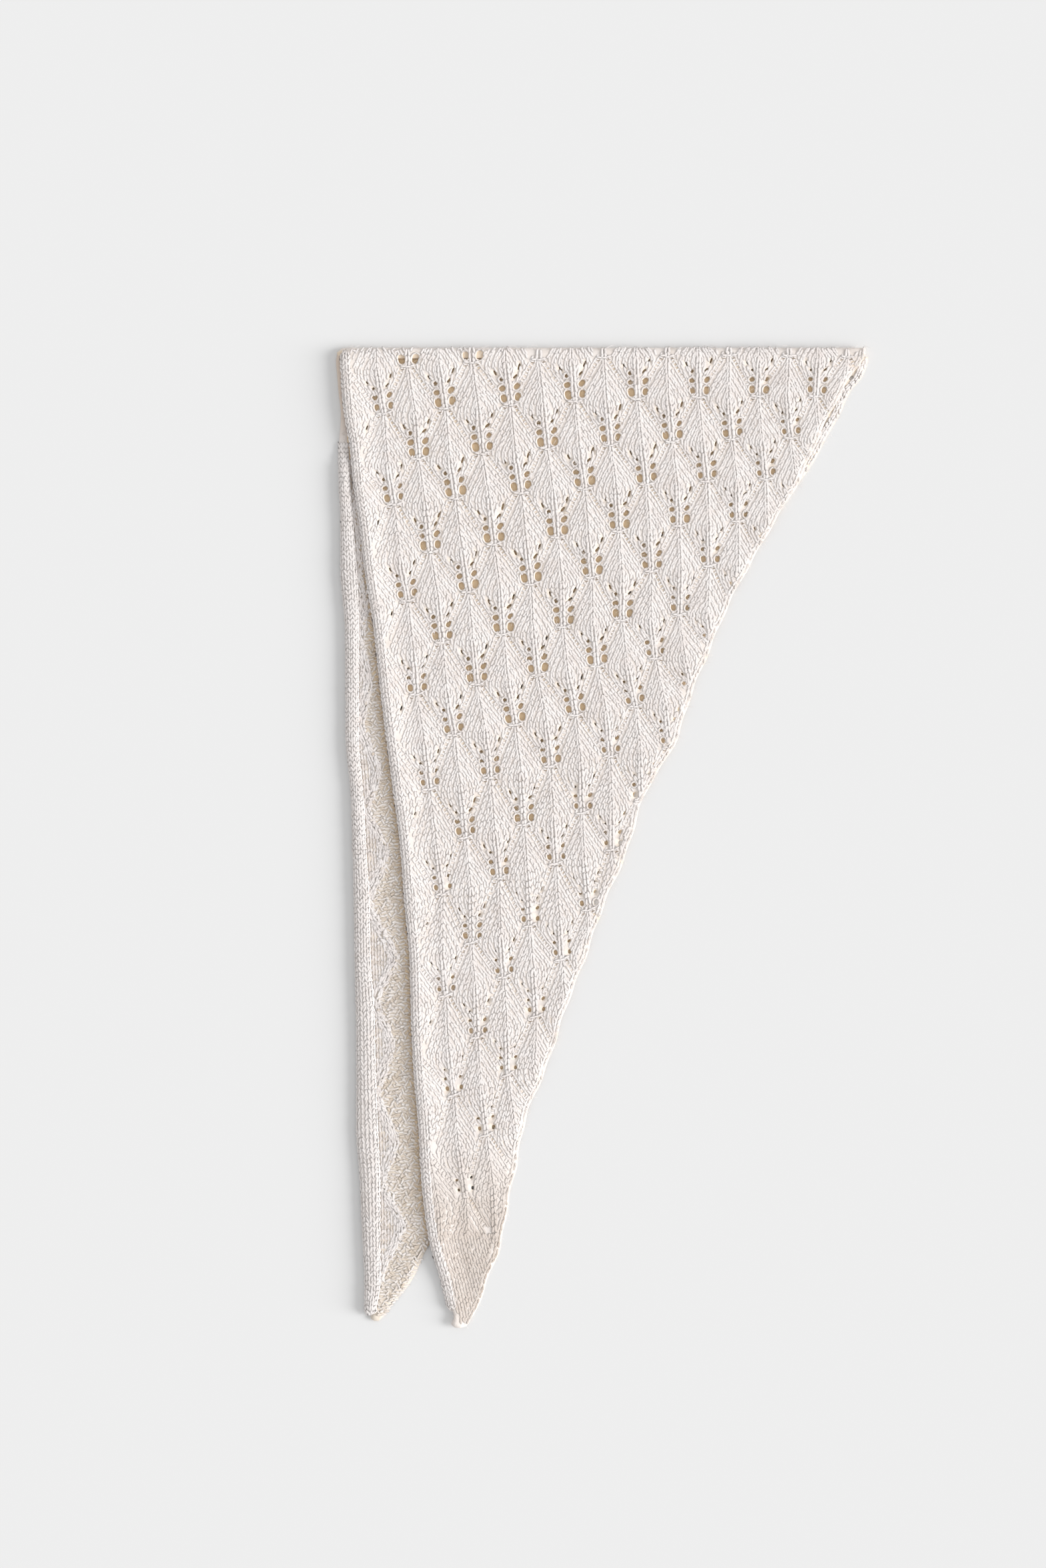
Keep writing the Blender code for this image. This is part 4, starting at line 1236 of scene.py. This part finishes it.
front_slots = slots_round(FRONT_CURL_FORM, (FRONT_CURL_WIDTH, FRONT_CURL_HEIGHT))
back_slots = slots_round(BACK_CURL_FORM, (14.0, 7.0))
front_band = lay_band(
    "front_band_stitches", front_curl_rings, front_slots, CURL_TOP + 2.0, FRONT_CURL_END, 1.0, 51)
back_band = lay_band("back_band_stitches", back_curl_rings, back_slots, 88.0, BACK_CURL_END, 1.1, 53)
print("wales on the curls:", len(front_slots), "and", len(back_slots))

# %% [markdown]
# ## Loose fuzz
# Brushing pulls fine fibres out of the yarn. They blur the edge of the cloth and soften each stitch. A few
# thousand bent fibres are enough, because the sheen in the finish does the rest.

# %% Fibres
FIBRES_ON_FACE, FIBRES_ON_STRIP, FIBRES_ON_EDGE = 6000, 2000, 2000
FIBRE_SIZE = np.array((0.75, 1.2, 2.0))
LOWEST_FIBRE = 2.6


def lay_fibres(laid, count, lift):
    """Fibres at stitches picked at random, in random directions near the cloth."""
    picked = laid[chance.integers(0, len(laid), count)]
    turn = chance.uniform(0.0, math.tau, count)
    flat = stack(np.cos(turn), np.sin(turn), chance.uniform(0.0, 0.3, count))
    place = picked[:, :3] + chance.uniform(-1.0, 1.0, (count, 3)) * (MM, MM, 0.0) + (0.0, 0.0, lift * MM)
    place[:, 2] = np.maximum(place[:, 2], LOWEST_FIBRE * MM)
    return np.concatenate((place, picked[:, 3:6], flat), axis=-1)


edge_laid = np.concatenate((
    on_sheet(front_height, *front_edge.T, 0.0 * front_edge[:, 0], 0.3),
    on_sheet(back_height, *back_edge.T, 0.0 * back_edge[:, 0], 0.3)))
face_fuzz = lay_fibres(np.concatenate((front_laid, plain_laid)), FIBRES_ON_FACE, 0.6)
strip_fuzz = lay_fibres(np.concatenate((purl_laid, pale_laid)), FIBRES_ON_STRIP, 0.6)
edge_fuzz = lay_fibres(edge_laid, FIBRES_ON_EDGE, 0.0)
fuzz = scatter(
    "loose_fuzz", fibre_tree, np.concatenate((face_fuzz, strip_fuzz, edge_fuzz)),
    FIBRE_SIZE * chance.uniform(0.6, 1.5, (FIBRES_ON_FACE + FIBRES_ON_STRIP + FIBRES_ON_EDGE, 1)),
    band_yarn, seed=61, unevenness=0.4)

# %% [markdown]
# ## Stage
# A pale floor, a low soft sun from the right, as the photo's shadow shows, and a bright even world.

# %% Floor, lights and camera
floor_material, tree = new_material("pale_paper_floor")
shader = add(tree, "ShaderNodeBsdfPrincipled", {
    "Base Color": srgb("#E6E6E6"), "Roughness": 0.95, "Specular IOR Level": 0.0})
add(tree, "ShaderNodeOutputMaterial", {"Surface": shader.outputs["BSDF"]})
floor = make_mesh("floor", [(-6, -6, 0), (6, -6, 0), (6, 6, 0), (-6, 6, 0)], [(0, 1, 2, 3)], floor_material)

SUN_FROM, SUN_STRENGTH, SUN_SOFTNESS, WORLD_STRENGTH = (1.0, -0.12, 0.38), 3.42, 32.0, 0.70
sun = bpy.data.lights.new("low_soft_sun", "SUN")
sun.energy, sun.angle, sun.color = SUN_STRENGTH, math.radians(SUN_SOFTNESS), srgb("#FFFFFF")[:3]
sun_holder = bpy.data.objects.new("low_soft_sun", sun)
sun_holder.rotation_euler = Vector(SUN_FROM).to_track_quat("Z", "Y").to_euler()
bpy.context.scene.collection.objects.link(sun_holder)
world = bpy.data.worlds.new("studio")
world.use_nodes = True
world.node_tree.nodes["Background"].inputs["Color"].default_value = srgb("#FFFFFF")
world.node_tree.nodes["Background"].inputs["Strength"].default_value = WORLD_STRENGTH
bpy.context.scene.world = world
bpy.context.scene.view_settings.view_transform = "Standard"

PHOTO_SPAN, CAMERA_HEIGHT, SENSOR = 1.4106, 3.2, 36.0
camera_data = bpy.data.cameras.new("camera")
camera_data.sensor_width = SENSOR
camera_data.lens = SENSOR * CAMERA_HEIGHT / PHOTO_SPAN
camera = bpy.data.objects.new("camera", camera_data)
camera.location = (-0.0705, 0.0483, CAMERA_HEIGHT)
bpy.context.scene.collection.objects.link(camera)
bpy.context.scene.camera = camera
print("lens:", round(camera_data.lens, 1), "mm")

# %% [markdown]
# ## Hand over
# Every piece rides on the one body; the pieces are listed in groups named after their finishes. The sheets,
# the curls and the fold stand for their solids, which are hidden.

# %% Attach the pieces and hide the solids they stand for
stand_ins = {front_lace: "front_layer", back_lace: "back_layer", fold: "top_fold",
             front_curl: "front_edge_curl", back_curl: "back_edge_curl"}
slots = {"lace_right_side": [front_lace, fold, front_tip, dashes, fuzz, *front_stitches],
         "lace_wrong_side": [back_lace, purl_bumps, pale_zone],
         "edge_band": [front_curl, back_curl, front_band, back_band]}
for slot, pieces in slots.items():
    for piece in pieces:
        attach(piece, "root")
for piece, node in stand_ins.items():
    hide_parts(node)
